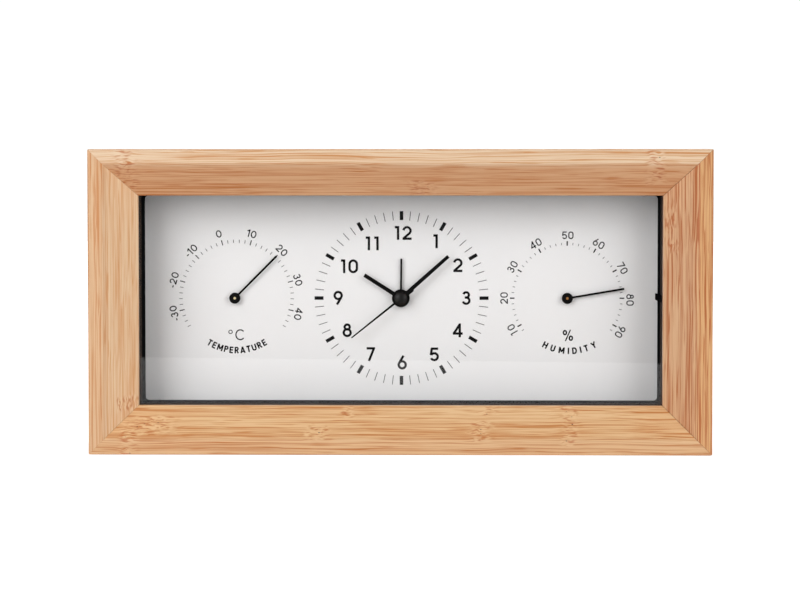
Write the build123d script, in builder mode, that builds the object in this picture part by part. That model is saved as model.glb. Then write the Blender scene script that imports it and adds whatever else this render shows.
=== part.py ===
from build123d import *
import os
from math import acos, cos, pi, radians, sin, tan

# Thermometer, clock and hygrometer in one bamboo frame, in millimetres.
# x runs to the right as seen from the front, y to the back and z up.
# The origin is under the middle of the frame, on the surface that it stands on.
os.makedirs("parts", exist_ok=True)

# Overall size of the frame
overall_width = 255.0
overall_height = 125.0
overall_depth = 54.0

# Section of the bamboo rails, measured inward from the outside of the frame
rail_width = 19.0
face_flat = 5.9
bevel_depth = 12.0
lip_thickness = 2.5
wall_width = 16.5
panel_ledge = 6.0
edge_round = 0.7
corner_round = 0.8
lip_round = 0.4

# Hidden splines in the four mitres
spline_width = 8.0
spline_length = 11.0
spline_thickness = 3.0
joiner_clearance = 0.05

# Glass and its gasket
glass_thickness = 2.0
glass_clearance = 0.5
gasket_thickness = 0.8
gasket_width = 2.0

# Black lining: spacer strips, and the board that carries the printed dial and the works
lining_clearance = 0.3
board_floor = 1.8
dial_thickness = 0.5
dial_clearance = 0.2
dial_corner = 1.5
rib_height = 2.6
rib_reach = 1.2
rib_rise = 0.75

# Back panel, and how far the back of the movement lies inside its outer face
movement_recess = 2.8
panel_thickness = 3.0
panel_clearance = 0.3
panel_hole_clearance = 0.75
vent_width = 3.0
vent_length = 20.0
vent_pitch = 6.0
vent_count = 7
wood_screw_radius = 1.1
wood_screw_length = 12.0
wood_screw_head_radius = 2.4
wood_screw_head_depth = 1.6
wood_screw_spread = 90.0
slot_width = 0.7
slot_depth = 0.6

# Clearances and small gaps shared by the movement and the instruments
run_clearance = 0.05
end_clearance = 0.1
hand_clearance = 0.02

# Clock movement
movement_side = 56.0
movement_corner = 2.0
movement_plate = 1.8
shell_wall = 1.2
shell_back = 1.9
battery_diameter = 14.5
battery_length = 50.5
battery_clearance = 0.2
battery_nub_radius = 2.75
battery_nub_length = 1.2
battery_rim = 0.5
contact_thickness = 0.4
contact_height = 9.0
contact_width = 8.0
leaf_thickness = 0.3
wheel_thickness = 0.8
layer_gap = 0.35
middle_plate_thickness = 1.0
arbor_radius = 0.4
knob_arbor_radius = 0.6
pivot_depth = 1.0
pillar_radius = 1.3
pillar_spread = 18.5
pillar_low = 7.7
pillar_high = 17.5
plate_margin = 1.5
minute_post_radius = 0.6

# Tubes round the second arbor, from the inside out
tube_wall = 0.5
stem_wall = 1.15

# Angles, and the proportions of teeth in modules
half_turn = 180.0
full_turn = 360.0
pressure_angle = 20.0
addendum_share = 0.8
dedendum_share = 1.1
backlash_share = 0.25

# Gear train: teeth, and distances and directions between centres
rotor_pinion_teeth = 8
intermediate_teeth = 40
intermediate_pinion_teeth = 8
second_teeth = 48
second_pinion_teeth = 8
third_teeth = 64
third_pinion_teeth = 8
centre_teeth = 60
cannon_teeth = 12
minute_teeth = 36
minute_pinion_teeth = 10
hour_teeth = 40
time_knob_teeth = 12
alarm_teeth = 52
alarm_knob_teeth = 12
train_distance = 10.2
rotor_distance = 7.2
motion_distance = 8.4
alarm_distance = 10.75
third_direction = 40.0
intermediate_direction = 125.0
rotor_direction = 60.0
minute_direction = 180.0
time_knob_direction = 150.0
alarm_knob_direction = -35.0

# Motor and electronics
rotor_radius = 2.6
rotor_length = 2.0
stator_gap = 0.4
stator_thickness = 0.8
stator_rim = 4.0
stator_half_length = 9.5
stator_leg_width = 3.5
stator_post_radius = 1.3
stator_post_inset = 1.5
coil_rise = 8.0
core_width = 2.0
bobbin_radius = 1.6
bobbin_flange_radius = 2.9
bobbin_flange = 0.6
winding_radius = 2.7
board_width = 13.6
board_height = 13.0
board_thickness = 0.8
board_left = 26.2
board_bottom = 8.0
chip_radius = 2.6
chip_height = 1.0
chip_round_share = 0.5
chip_side_share = 0.25
chip_rise_share = 0.2
crystal_radius = 1.0
crystal_length = 6.0
crystal_drop_share = 0.3
crystal_chamfer_share = 0.3
buzzer_radius = 6.0
buzzer_height = 3.4
buzzer_rim = 0.8
buzzer_right = 19.5
buzzer_up = 1.0
alarm_spring_width = 2.0
alarm_spring_thickness = 0.25
alarm_spring_top = 15.0
alarm_spring_bend = 12.0
alarm_spring_tip = 7.8

# Knobs and switch at the back
time_knob_radius = 5.0
alarm_knob_radius = 4.5
knob_height = 2.0
knob_gap = 0.2
knob_grooves = 24
knob_groove_radius = 0.3
switch_right = 17.0
switch_up = 20.0
switch_travel = 3.0
switch_neck_width = 2.4
switch_neck_height = 2.0
switch_flange_width = 6.0
switch_flange_height = 4.0
switch_flange_thickness = 0.8
switch_button_width = 4.0
switch_button_height = 3.2
switch_button_depth = 1.4
switch_clearance = 0.1

# Screws of the movement
case_screw_radius = 0.8
case_screw_head_radius = 1.6
case_screw_head_depth = 1.0
case_screw_inset = 4.0
case_screw_column = 2.3
column_meeting = 5.0
ear_length = 6.0
ear_width = 8.0
ear_screw_radius = 0.9
ear_screw_head_radius = 1.8
ear_screw_head_height = 1.2

# Hands: all angles are clockwise from twelve, as the photograph shows them
hand_thickness = 0.3
hand_pitch = 1.0
alarm_hand_gap = 0.9
hub_radius = 3.75
minute_hub_radius = 2.6
cap_radius = 2.8
cap_height = 1.1
alarm_angle = 0.7
alarm_length = 16.7
alarm_root_width = 0.9
alarm_tip_width = 0.8
hour_angle = 302.5
hour_length = 18.3
hour_root_width = 1.7
hour_tip_width = 1.6
minute_angle = 48.4
minute_length = 26.8
minute_root_width = 1.75
minute_tip_width = 1.45
second_angle = 231.4
second_length = 26.6
second_root_width = 0.95
second_tip_width = 0.55
second_tail_length = 6.4
second_tail_width = 1.9

# Thermometer and hygrometer
instrument_shift = 1.05
pointer_gap = 1.2
pointer_thickness = 0.3
pointer_hub_radius = 2.33
pointer_hub_thickness = 0.8
pointer_width = 0.85
thermometer_angle = 44.8
thermometer_length = 25.0
hygrometer_angle = 80.4
hygrometer_length = 24.3
pointer_arbor_radius = 0.55
arbor_proud = 0.12
collet_radius = 1.8
cup_radius = 21.0
cup_wall = 1.2
cup_base = 1.5
cup_depth = 10.0
cup_ear_length = 5.0
cup_ear_width = 8.0
cup_ear_hole_inset = 2.2
bridge_thickness = 1.2
bridge_width = 5.0
bridge_spread = 16.0
bridge_post_radius = 1.6
bridge_end = 2.2
bridge_screw_radius = 0.8
bridge_screw_head_radius = 1.5
bridge_screw_head_height = 0.8
bridge_screw_length = 4.0
coil_inner_radius = 2.3
coil_pitch = 1.7
coil_strip_thickness = 0.6
coil_strip_width = 3.5
coil_start = 2.0
thermometer_coil_turns = 5
hygrometer_coil_turns = 4
stud_radius = 1.2
stud_gap = 0.1

# Planes and outlines that follow from the sizes above
face_y = -overall_depth / 2
back_y = overall_depth / 2
half_width = overall_width / 2
centre_z = overall_height / 2
lip_front = face_y + bevel_depth
lip_back = lip_front + lip_thickness
glass_back = lip_back + glass_thickness
lining_front = glass_back + gasket_thickness
panel_front = back_y - panel_thickness
ledge_inset = wall_width - panel_ledge

aperture_width = overall_width - 2 * rail_width
aperture_height = overall_height - 2 * rail_width
opening_width = overall_width - 2 * wall_width
opening_height = overall_height - 2 * wall_width
glass_width = opening_width - 2 * glass_clearance
glass_height = opening_height - 2 * glass_clearance
lining_width = opening_width - 2 * lining_clearance
lining_height = opening_height - 2 * lining_clearance
panel_width = overall_width - 2 * (ledge_inset + panel_clearance)
panel_height = overall_height - 2 * (ledge_inset + panel_clearance)

battery_radius = battery_diameter / 2
shell_back_y = back_y - movement_recess
shell_inside_y = shell_back_y - shell_back
battery_y = shell_back_y - battery_clearance - battery_radius
plate_back = battery_y - battery_radius - battery_clearance
floor_back = plate_back - movement_plate
dial_back = floor_back - board_floor
dial_front = dial_back - dial_thickness
half_side = movement_side / 2
half_room = half_side - shell_wall
instrument_offset = (half_side + ear_length + aperture_width / 2) / 2 - instrument_shift
battery_drop = half_room - battery_clearance - battery_radius
bay_top = battery_drop - battery_radius - battery_clearance
room_bottom = bay_top - shell_wall

layer_pitch = wheel_thickness + layer_gap
alarm_layer = plate_back + layer_gap
hour_layer = alarm_layer + layer_pitch
minute_layer = hour_layer + layer_pitch
middle_front = minute_layer + layer_pitch
middle_back = middle_front + middle_plate_thickness
centre_layer = middle_back + layer_gap
third_layer = centre_layer + layer_pitch
second_layer = third_layer + layer_pitch
intermediate_layer = second_layer + layer_pitch
rotor_layer = intermediate_layer + layer_pitch
pivot_end = shell_inside_y + pivot_depth
pivot_radius = arbor_radius + run_clearance

minute_tube_inner = arbor_radius + run_clearance
minute_tube_outer = minute_tube_inner + tube_wall
hour_tube_inner = minute_tube_outer + run_clearance
hour_tube_outer = hour_tube_inner + tube_wall
alarm_tube_inner = hour_tube_outer + run_clearance
alarm_tube_outer = alarm_tube_inner + tube_wall
stem_inner = alarm_tube_outer + run_clearance
stem_outer = stem_inner + stem_wall

alarm_hand_front = dial_front - alarm_hand_gap - hand_thickness
hour_hand_front = alarm_hand_front - hand_pitch
minute_hand_front = hour_hand_front - hand_pitch
second_hand_front = minute_hand_front - hand_pitch

rotor_module = 2 * rotor_distance / (rotor_pinion_teeth + intermediate_teeth)
second_module = 2 * train_distance / (intermediate_pinion_teeth + second_teeth)
third_module = 2 * train_distance / (second_pinion_teeth + third_teeth)
centre_module = 2 * train_distance / (third_pinion_teeth + centre_teeth)
minute_module = 2 * motion_distance / (cannon_teeth + minute_teeth)
hour_module = 2 * motion_distance / (minute_pinion_teeth + hour_teeth)
knob_module = minute_module
time_knob_distance = knob_module * (minute_teeth + time_knob_teeth) / 2
alarm_module = 2 * alarm_distance / (alarm_teeth + alarm_knob_teeth)


def step_to(start, distance, direction):
    """The point at a distance from start, in a direction in degrees, on the dial's plane."""
    turn = radians(direction)
    return (start[0] + distance * cos(turn), start[1] + distance * sin(turn))


middle = (0, 0)
third_place = step_to(middle, train_distance, third_direction)
intermediate_place = step_to(middle, train_distance, intermediate_direction)
rotor_place = step_to(intermediate_place, rotor_distance, rotor_direction)
minute_place = step_to(middle, motion_distance, minute_direction)
time_knob_place = step_to(minute_place, time_knob_distance, time_knob_direction)
alarm_knob_place = step_to(middle, alarm_distance, alarm_knob_direction)
pillar_places = [
    (-pillar_spread, -pillar_low),
    (pillar_spread, -pillar_low),
    (-pillar_spread, pillar_high),
    (pillar_spread, pillar_high),
]
case_screw_places = [
    (-half_side + case_screw_inset, half_side - case_screw_inset),
    (half_side - case_screw_inset, half_side - case_screw_inset),
]
ear_screw_places = [(-half_side - ear_length / 2, 0), (half_side + ear_length / 2, 0)]


def facing(y):
    """Sketch plane at depth y that faces the front: local x is x, and local y is z."""
    return Plane.XZ.offset(-y)


def dial_plane(y, x=0):
    """The same plane, with its origin at the middle of a dial."""
    return Plane(origin=(x, y, centre_z), x_dir=(1, 0, 0), z_dir=(0, -1, 0))


def post(place, radius, near, far, x=0, mode=Mode.ADD):
    """Add a round post, or cut a round hole, from depth near to depth far."""
    with BuildSketch(dial_plane(far, x)) as section:
        with Locations(place):
            Circle(radius)
    extrude(section.sketch, amount=far - near, mode=mode)


def tube(place, outer, inner, near, far, x=0):
    """Add a round tube from depth near to depth far."""
    with BuildSketch(dial_plane(far, x)) as section:
        with Locations(place):
            Circle(outer)
            Circle(inner, mode=Mode.SUBTRACT)
    extrude(section.sketch, amount=far - near)


def block(place, width, height, near, far, x=0, mode=Mode.ADD):
    """Add a rectangular block, or cut one, from depth near to depth far."""
    with BuildSketch(dial_plane(far, x)) as section:
        with Locations(place):
            Rectangle(width, height)
    extrude(section.sketch, amount=far - near, mode=mode)


def gear_outline(teeth, module, phase):
    """Outline of an involute gear round its own centre; one tooth points in the direction phase."""
    pitch_radius = teeth * module / 2
    base_radius = pitch_radius * cos(radians(pressure_angle))
    root_radius = pitch_radius - dedendum_share * module
    tip_radius = pitch_radius + addendum_share * module

    def involute(radius):
        angle = acos(min(1, base_radius / radius))
        return tan(angle) - angle

    def half_angle(radius):
        half_tooth = (pi / 2 - backlash_share) / teeth
        return half_tooth + involute(pitch_radius) - involute(max(radius, base_radius))

    flank = sorted({root_radius, max(root_radius, base_radius), pitch_radius, tip_radius})
    points = []
    for tooth in range(teeth):
        middle_angle = radians(phase) + 2 * pi * tooth / teeth
        rising = [(radius, middle_angle - half_angle(radius)) for radius in flank]
        falling = [(radius, middle_angle + half_angle(radius)) for radius in reversed(flank)]
        points += [(radius * cos(angle), radius * sin(angle)) for radius, angle in rising + falling]
    return points


def mesh_phase(phase, teeth, mate_teeth, direction):
    """Phase of the gear that lies in a direction from another, so that their teeth mesh."""
    progress = (direction - phase) * teeth / full_turn
    return direction + half_turn - (1 / 2 - progress) * full_turn / mate_teeth


def gear(place, teeth, module, phase, near, far, bore=0):
    """Add a gear between two depths, with a round bore if one is given."""
    with BuildSketch(dial_plane(far)) as section:
        with Locations(place):
            Polygon(*gear_outline(teeth, module, phase), align=None)
            if bore:
                Circle(bore, mode=Mode.SUBTRACT)
    extrude(section.sketch, amount=far - near)


def blade(angle, length, root_width, tip_width, tail_length=0, tail_width=0):
    """Corners of a straight hand with blunt ends that points clockwise from twelve by an angle."""
    turn = radians(angle)
    along = (sin(turn), cos(turn))
    across = (cos(turn), -sin(turn))
    stations = [(-tail_length, tail_width), (0, max(tail_width, root_width))] if tail_length else []
    stations += [(0, root_width), (length, tip_width)]
    right = [(along[0] * s + across[0] * w / 2, along[1] * s + across[1] * w / 2) for s, w in stations]
    left = [(along[0] * s - across[0] * w / 2, along[1] * s - across[1] * w / 2) for s, w in stations]
    return right + left[::-1]


def drive_slot(place, head_radius, near, x=0):
    """Cut a cross recess into a screw's head, from its outer face at depth near."""
    block(place, head_radius, slot_width, near - slot_depth, near, x, Mode.SUBTRACT)
    block(place, slot_width, head_radius, near - slot_depth, near, x, Mode.SUBTRACT)


def finish(builder, name):
    """Label a finished piece and write it to its own file."""
    builder.part.label = name
    export_step(builder.part, "parts/" + name + ".step")


# Bamboo frame: four rails with one section, mitred at the corners
rail_outline = [
    (face_y, 0),
    (face_y, face_flat),
    (lip_front, rail_width),
    (lip_back, rail_width),
    (lip_back, wall_width),
    (panel_front, wall_width),
    (panel_front, ledge_inset),
    (back_y, ledge_inset),
    (back_y, 0),
]
corner_inset = wall_width / 2
spline_y = (lip_back + panel_front) / 2
spline_places = [
    (-half_width + corner_inset, corner_inset, -45),
    (half_width - corner_inset, corner_inset, 45),
    (-half_width + corner_inset, overall_height - corner_inset, 45),
    (half_width - corner_inset, overall_height - corner_inset, -45),
]
wood_screw_inset = (ledge_inset + wall_width) / 2
wood_screw_places = [(x, z) for x in (-wood_screw_spread, 0, wood_screw_spread)
                     for z in (wood_screw_inset, overall_height - wood_screw_inset)]
wood_screw_places += [(side * (half_width - wood_screw_inset), centre_z) for side in (-1, 1)]
rails = [
    ("bottom_rail", (-half_width, 0, 0), (1, 0, 0), overall_width),
    ("top_rail", (half_width, 0, overall_height), (-1, 0, 0), overall_width),
    ("left_rail", (-half_width, 0, overall_height), (0, 0, -1), overall_height),
    ("right_rail", (half_width, 0, 0), (0, 0, 1), overall_height),
]


def rail_section():
    """Add the section of a rail to a sketch: local x is the depth, and local y runs inward."""
    Polygon(*rail_outline, align=None)
    fillet(vertices().group_by(Axis.X)[0], radius=edge_round)
    fillet(vertices().group_by(Axis.X)[-1].sort_by(Axis.Y)[0], radius=edge_round)
    fillet(vertices().group_by(Axis.Y)[-1].sort_by(Axis.X)[0], radius=lip_round)


def spline_blocks(grow, mode=Mode.ADD):
    """Add or cut the four splines, larger all round by grow."""
    with BuildSketch(facing(spline_y + spline_thickness / 2 + grow)) as section:
        for x, z, turn in spline_places:
            with Locations((x, z)):
                Rectangle(spline_length + 2 * grow, spline_width + 2 * grow, rotation=turn)
    extrude(section.sketch, amount=spline_thickness + 2 * grow, mode=mode)


for name, start, along, length in rails:
    inward = Plane(origin=start, x_dir=(0, 1, 0), z_dir=along).y_dir
    with BuildPart() as rail:
        with BuildSketch(Plane(origin=start, x_dir=(0, 1, 0), z_dir=along)):
            rail_section()
        extrude(amount=length)
        end = Vector(*start) + Vector(*along) * length
        split(bisect_by=Plane(origin=start, z_dir=Vector(*along) - inward), keep=Keep.TOP)
        split(bisect_by=Plane(origin=end, z_dir=-Vector(*along) - inward), keep=Keep.TOP)
        with BuildSketch(dial_plane(back_y + edge_round)) as outside:
            RectangleRounded(overall_width, overall_height, corner_round)
        extrude(outside.sketch, amount=overall_depth + 2 * edge_round, mode=Mode.INTERSECT)
        spline_blocks(joiner_clearance, Mode.SUBTRACT)
        with BuildSketch(facing(panel_front)) as pilots:
            with Locations(*wood_screw_places):
                Circle(wood_screw_radius + joiner_clearance)
        extrude(pilots.sketch, amount=wood_screw_length, mode=Mode.SUBTRACT)
    finish(rail, name)

with BuildPart() as corner_splines:
    spline_blocks(0)
finish(corner_splines, "corner_splines")

# Glass, and the gasket between it and the lining
with BuildPart() as glass_pane:
    block(middle, glass_width, glass_height, lip_back, glass_back)
finish(glass_pane, "glass_pane")

with BuildPart() as glass_gasket:
    block(middle, glass_width, glass_height, glass_back, lining_front)
    block(middle, glass_width - 2 * gasket_width, glass_height - 2 * gasket_width,
          glass_back, lining_front, mode=Mode.SUBTRACT)
finish(glass_gasket, "glass_gasket")

# Lining: spacer strips from the gasket to the dial board, the board, and strips on to the back panel
strip_thickness = (lining_width - aperture_width) / 2
strip_centre_x = (lining_width - strip_thickness) / 2
strip_centre_z = (lining_height - strip_thickness) / 2
cup_ear_reach = cup_radius + cup_ear_length - cup_ear_hole_inset


def spacer_strips(near, far):
    """Add the four strips that line the frame between two depths."""
    for side in (-1, 1):
        block((0, side * strip_centre_z), lining_width, strip_thickness, near, far)
        block((side * strip_centre_x, 0), strip_thickness, aperture_height - 2 * joiner_clearance, near, far)


with BuildPart() as front_spacers:
    spacer_strips(lining_front, dial_back)
    block((aperture_width / 2 - rib_reach / 2, rib_rise), rib_reach, rib_height, lining_front, dial_front)
finish(front_spacers, "front_spacers")

with BuildPart() as rear_spacers:
    spacer_strips(floor_back, panel_front)
finish(rear_spacers, "rear_spacers")

with BuildPart() as dial_board:
    with BuildSketch(dial_plane(floor_back)):
        Rectangle(lining_width, lining_height)
        Circle(stem_outer + joiner_clearance, mode=Mode.SUBTRACT)
        with Locations(*ear_screw_places):
            Circle(ear_screw_radius + joiner_clearance, mode=Mode.SUBTRACT)
        for x in (-instrument_offset, instrument_offset):
            with Locations((x, 0)):
                Circle(collet_radius, mode=Mode.SUBTRACT)
            with Locations((x, -cup_ear_reach), (x, cup_ear_reach)):
                Circle(ear_screw_radius + joiner_clearance, mode=Mode.SUBTRACT)
    extrude(amount=board_floor)
finish(dial_board, "dial_board")

with BuildPart() as dial_plate:
    with BuildSketch(dial_plane(dial_back)):
        RectangleRounded(aperture_width - 2 * dial_clearance, aperture_height - 2 * dial_clearance,
                         dial_corner)
        Circle(stem_outer + joiner_clearance, mode=Mode.SUBTRACT)
        with Locations((-instrument_offset, 0), (instrument_offset, 0)):
            Circle(collet_radius, mode=Mode.SUBTRACT)
    extrude(amount=dial_thickness)
finish(dial_plate, "dial_plate")

# Movement: front plate with its stem, mounting ears and pillars
ear_reach = movement_side + 2 * ear_length
with BuildPart() as movement_front_plate:
    with BuildSketch(dial_plane(plate_back)):
        RectangleRounded(movement_side, movement_side, movement_corner)
        Rectangle(ear_reach, ear_width)
        with Locations(*ear_screw_places):
            Circle(ear_screw_radius + joiner_clearance, mode=Mode.SUBTRACT)
    extrude(amount=movement_plate)
    for place in pillar_places:
        post(place, pillar_radius, plate_back, middle_front)
    for place in case_screw_places:
        post(place, case_screw_column, plate_back, plate_back + column_meeting)
        post(place, case_screw_radius + joiner_clearance, floor_back + movement_plate / 2,
             plate_back + column_meeting, mode=Mode.SUBTRACT)
    post(middle, stem_outer, dial_front, floor_back)
    post(middle, stem_inner, dial_front, plate_back, mode=Mode.SUBTRACT)
finish(movement_front_plate, "movement_front_plate")

with BuildPart() as movement_middle_plate:
    with BuildSketch(dial_plane(middle_back)):
        with Locations((0, (pillar_high - pillar_low) / 2)):
            Rectangle(2 * (pillar_spread + plate_margin), pillar_high + pillar_low + 2 * plate_margin)
        Circle(minute_tube_outer + run_clearance, mode=Mode.SUBTRACT)
        with Locations(third_place, intermediate_place, rotor_place):
            Circle(pivot_radius, mode=Mode.SUBTRACT)
        with Locations(time_knob_place, alarm_knob_place):
            Circle(knob_arbor_radius + run_clearance, mode=Mode.SUBTRACT)
    extrude(amount=middle_plate_thickness)
    post(minute_place, minute_post_radius, hour_layer - layer_gap / 2, middle_front)
finish(movement_middle_plate, "movement_middle_plate")

# Back shell: a room for the train above, and an open bay for the battery below
bay_height = half_room - bay_top
switch_slot_width = switch_neck_width + switch_travel + 2 * switch_clearance
stator_y = rotor_layer + (rotor_length - stator_thickness) / 2
stator_back = stator_y + stator_thickness
stator_post_reach = stator_half_length - stator_post_inset
stator_post_up = rotor_place[1] - stator_rim + stator_post_inset
stator_post_places = [(rotor_place[0] + side * stator_post_reach, stator_post_up) for side in (-1, 1)]
with BuildPart() as movement_back_shell:
    with BuildSketch(dial_plane(shell_back_y)):
        RectangleRounded(movement_side, movement_side, movement_corner)
    extrude(amount=shell_back_y - plate_back)
    block((0, (half_room - room_bottom) / 2), 2 * half_room, half_room + room_bottom,
          plate_back, shell_inside_y, mode=Mode.SUBTRACT)
    block((0, -(half_room + bay_top) / 2), 2 * half_room, bay_height,
          plate_back, shell_back_y, mode=Mode.SUBTRACT)
    for place in case_screw_places:
        post(place, case_screw_column, plate_back + column_meeting, shell_inside_y)
        post(place, case_screw_radius + joiner_clearance, plate_back + column_meeting, shell_back_y,
             mode=Mode.SUBTRACT)
        post(place, case_screw_head_radius + joiner_clearance, shell_back_y - case_screw_head_depth,
             shell_back_y, mode=Mode.SUBTRACT)
    for place in (middle, third_place, intermediate_place, rotor_place):
        post(place, pivot_radius, shell_inside_y, pivot_end + end_clearance, mode=Mode.SUBTRACT)
    for place in (time_knob_place, alarm_knob_place):
        post(place, knob_arbor_radius + run_clearance, shell_inside_y, shell_back_y, mode=Mode.SUBTRACT)
    for place in stator_post_places:
        post(place, stator_post_radius, stator_back, shell_inside_y)
    block((switch_right + switch_travel / 2, switch_up), switch_slot_width,
          switch_neck_height + 2 * switch_clearance, shell_inside_y, shell_back_y, mode=Mode.SUBTRACT)
finish(movement_back_shell, "movement_back_shell")

# Phases that put every pair of gears in mesh at rest
cannon_phase = 0
minute_phase = mesh_phase(cannon_phase, cannon_teeth, minute_teeth, minute_direction)
time_knob_phase = mesh_phase(minute_phase, minute_teeth, time_knob_teeth, time_knob_direction)
minute_pinion_phase = 0
hour_phase = mesh_phase(minute_pinion_phase, minute_pinion_teeth, hour_teeth, minute_direction + half_turn)
alarm_phase = 0
alarm_knob_phase = mesh_phase(alarm_phase, alarm_teeth, alarm_knob_teeth, alarm_knob_direction)
second_pinion_phase = 0
third_phase = mesh_phase(second_pinion_phase, second_pinion_teeth, third_teeth, third_direction)
third_pinion_phase = 0
centre_phase = mesh_phase(third_pinion_phase, third_pinion_teeth, centre_teeth, third_direction + half_turn)
second_phase = 0
intermediate_pinion_phase = mesh_phase(second_phase, second_teeth, intermediate_pinion_teeth,
                                       intermediate_direction)
intermediate_phase = 0
rotor_phase = mesh_phase(intermediate_phase, intermediate_teeth, rotor_pinion_teeth, rotor_direction)

# Running train, from the rotor to the second wheel and on to the centre wheel
with BuildPart() as rotor:
    post(rotor_place, rotor_radius, rotor_layer, rotor_layer + rotor_length)
    gear(rotor_place, rotor_pinion_teeth, rotor_module, rotor_phase, intermediate_layer, rotor_layer)
    post(rotor_place, arbor_radius, middle_front + end_clearance, intermediate_layer)
    post(rotor_place, arbor_radius, rotor_layer + rotor_length, pivot_end)
finish(rotor, "rotor")

with BuildPart() as intermediate_wheel:
    gear(intermediate_place, intermediate_teeth, rotor_module, intermediate_phase,
         intermediate_layer, intermediate_layer + wheel_thickness)
    gear(intermediate_place, intermediate_pinion_teeth, second_module, intermediate_pinion_phase,
         second_layer, intermediate_layer)
    post(intermediate_place, arbor_radius, middle_front + end_clearance, second_layer)
    post(intermediate_place, arbor_radius, intermediate_layer + wheel_thickness, pivot_end)
finish(intermediate_wheel, "intermediate_wheel")

with BuildPart() as second_wheel:
    gear(middle, second_teeth, second_module, second_phase, second_layer, second_layer + wheel_thickness)
    gear(middle, second_pinion_teeth, third_module, second_pinion_phase, third_layer, second_layer)
    post(middle, arbor_radius, second_hand_front, third_layer)
    post(middle, arbor_radius, second_layer + wheel_thickness, pivot_end)
finish(second_wheel, "second_wheel")

with BuildPart() as third_wheel:
    gear(third_place, third_teeth, third_module, third_phase, third_layer, third_layer + wheel_thickness)
    gear(third_place, third_pinion_teeth, centre_module, third_pinion_phase, centre_layer, third_layer)
    post(third_place, arbor_radius, middle_front + end_clearance, centre_layer)
    post(third_place, arbor_radius, third_layer + wheel_thickness, pivot_end)
finish(third_wheel, "third_wheel")

with BuildPart() as centre_wheel:
    gear(middle, centre_teeth, centre_module, centre_phase, centre_layer, centre_layer + wheel_thickness,
         bore=minute_tube_outer + run_clearance)
finish(centre_wheel, "centre_wheel")

# Motion work: the tubes that carry the minute and hour hands
with BuildPart() as minute_cannon:
    gear(middle, cannon_teeth, minute_module, cannon_phase, minute_layer, minute_layer + wheel_thickness)
    post(middle, minute_tube_outer, minute_hand_front, centre_layer + wheel_thickness + end_clearance)
    post(middle, minute_tube_inner, minute_hand_front, centre_layer + wheel_thickness + end_clearance,
         mode=Mode.SUBTRACT)
finish(minute_cannon, "minute_cannon")

with BuildPart() as minute_wheel:
    gear(minute_place, minute_teeth, minute_module, minute_phase,
         minute_layer, minute_layer + wheel_thickness)
    gear(minute_place, minute_pinion_teeth, hour_module, minute_pinion_phase, hour_layer, minute_layer)
    post(minute_place, minute_post_radius + run_clearance, hour_layer, minute_layer + wheel_thickness,
         mode=Mode.SUBTRACT)
finish(minute_wheel, "minute_wheel")

with BuildPart() as hour_wheel:
    gear(middle, hour_teeth, hour_module, hour_phase, hour_layer, hour_layer + wheel_thickness,
         bore=hour_tube_inner)
    tube(middle, hour_tube_outer, hour_tube_inner, hour_hand_front, hour_layer)
finish(hour_wheel, "hour_wheel")

with BuildPart() as alarm_wheel:
    gear(middle, alarm_teeth, alarm_module, alarm_phase, alarm_layer, alarm_layer + wheel_thickness,
         bore=alarm_tube_inner)
    tube(middle, alarm_tube_outer, alarm_tube_inner, alarm_hand_front, alarm_layer)
finish(alarm_wheel, "alarm_wheel")


def knob(place, radius):
    """Add a grooved knob behind the back shell."""
    near = shell_back_y + knob_gap
    with BuildSketch(dial_plane(near + knob_height)) as section:
        with Locations(place):
            Circle(radius)
            with PolarLocations(radius, knob_grooves):
                Circle(knob_groove_radius, mode=Mode.SUBTRACT)
    extrude(section.sketch, amount=knob_height)


# Knobs that set the hands and the alarm, each with its arbor and pinion
with BuildPart() as time_set_knob:
    knob(time_knob_place, time_knob_radius)
    post(time_knob_place, knob_arbor_radius, minute_layer + wheel_thickness, shell_back_y + knob_gap)
    gear(time_knob_place, time_knob_teeth, knob_module, time_knob_phase,
         minute_layer, minute_layer + wheel_thickness)
finish(time_set_knob, "time_set_knob")

with BuildPart() as alarm_set_knob:
    knob(alarm_knob_place, alarm_knob_radius)
    post(alarm_knob_place, knob_arbor_radius, alarm_layer + wheel_thickness, shell_back_y + knob_gap)
    gear(alarm_knob_place, alarm_knob_teeth, alarm_module, alarm_knob_phase,
         alarm_layer, alarm_layer + wheel_thickness)
finish(alarm_set_knob, "alarm_set_knob")

with BuildPart() as alarm_switch:
    flange_back = shell_inside_y - switch_clearance
    block((switch_right, switch_up), switch_flange_width, switch_flange_height,
          flange_back - switch_flange_thickness, flange_back)
    block((switch_right, switch_up), switch_neck_width, switch_neck_height,
          flange_back, shell_back_y + knob_gap)
    block((switch_right, switch_up), switch_button_width, switch_button_height,
          shell_back_y + knob_gap, shell_back_y + knob_gap + switch_button_depth)
finish(alarm_switch, "alarm_switch")

# Motor: stator, coil core, bobbin and winding
coil_z = rotor_place[1] + coil_rise
leg_height = coil_rise + stator_rim + core_width
leg_reach = stator_half_length - stator_leg_width
with BuildPart() as stator:
    with BuildSketch(dial_plane(stator_back)):
        with Locations((rotor_place[0], rotor_place[1] - stator_rim + leg_height / 2)):
            Rectangle(2 * stator_half_length, leg_height)
        with Locations((rotor_place[0], rotor_place[1] + stator_rim + leg_height / 2)):
            Rectangle(2 * leg_reach, leg_height, mode=Mode.SUBTRACT)
        with Locations(rotor_place):
            Circle(rotor_radius + stator_gap, mode=Mode.SUBTRACT)
    extrude(amount=stator_thickness)
finish(stator, "stator")

core_back = stator_y
core_y = core_back - stator_thickness / 2
with BuildPart() as coil_core:
    block((rotor_place[0], coil_z), 2 * stator_half_length, core_width,
          core_back - stator_thickness, core_back)
finish(coil_core, "coil_core")

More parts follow.
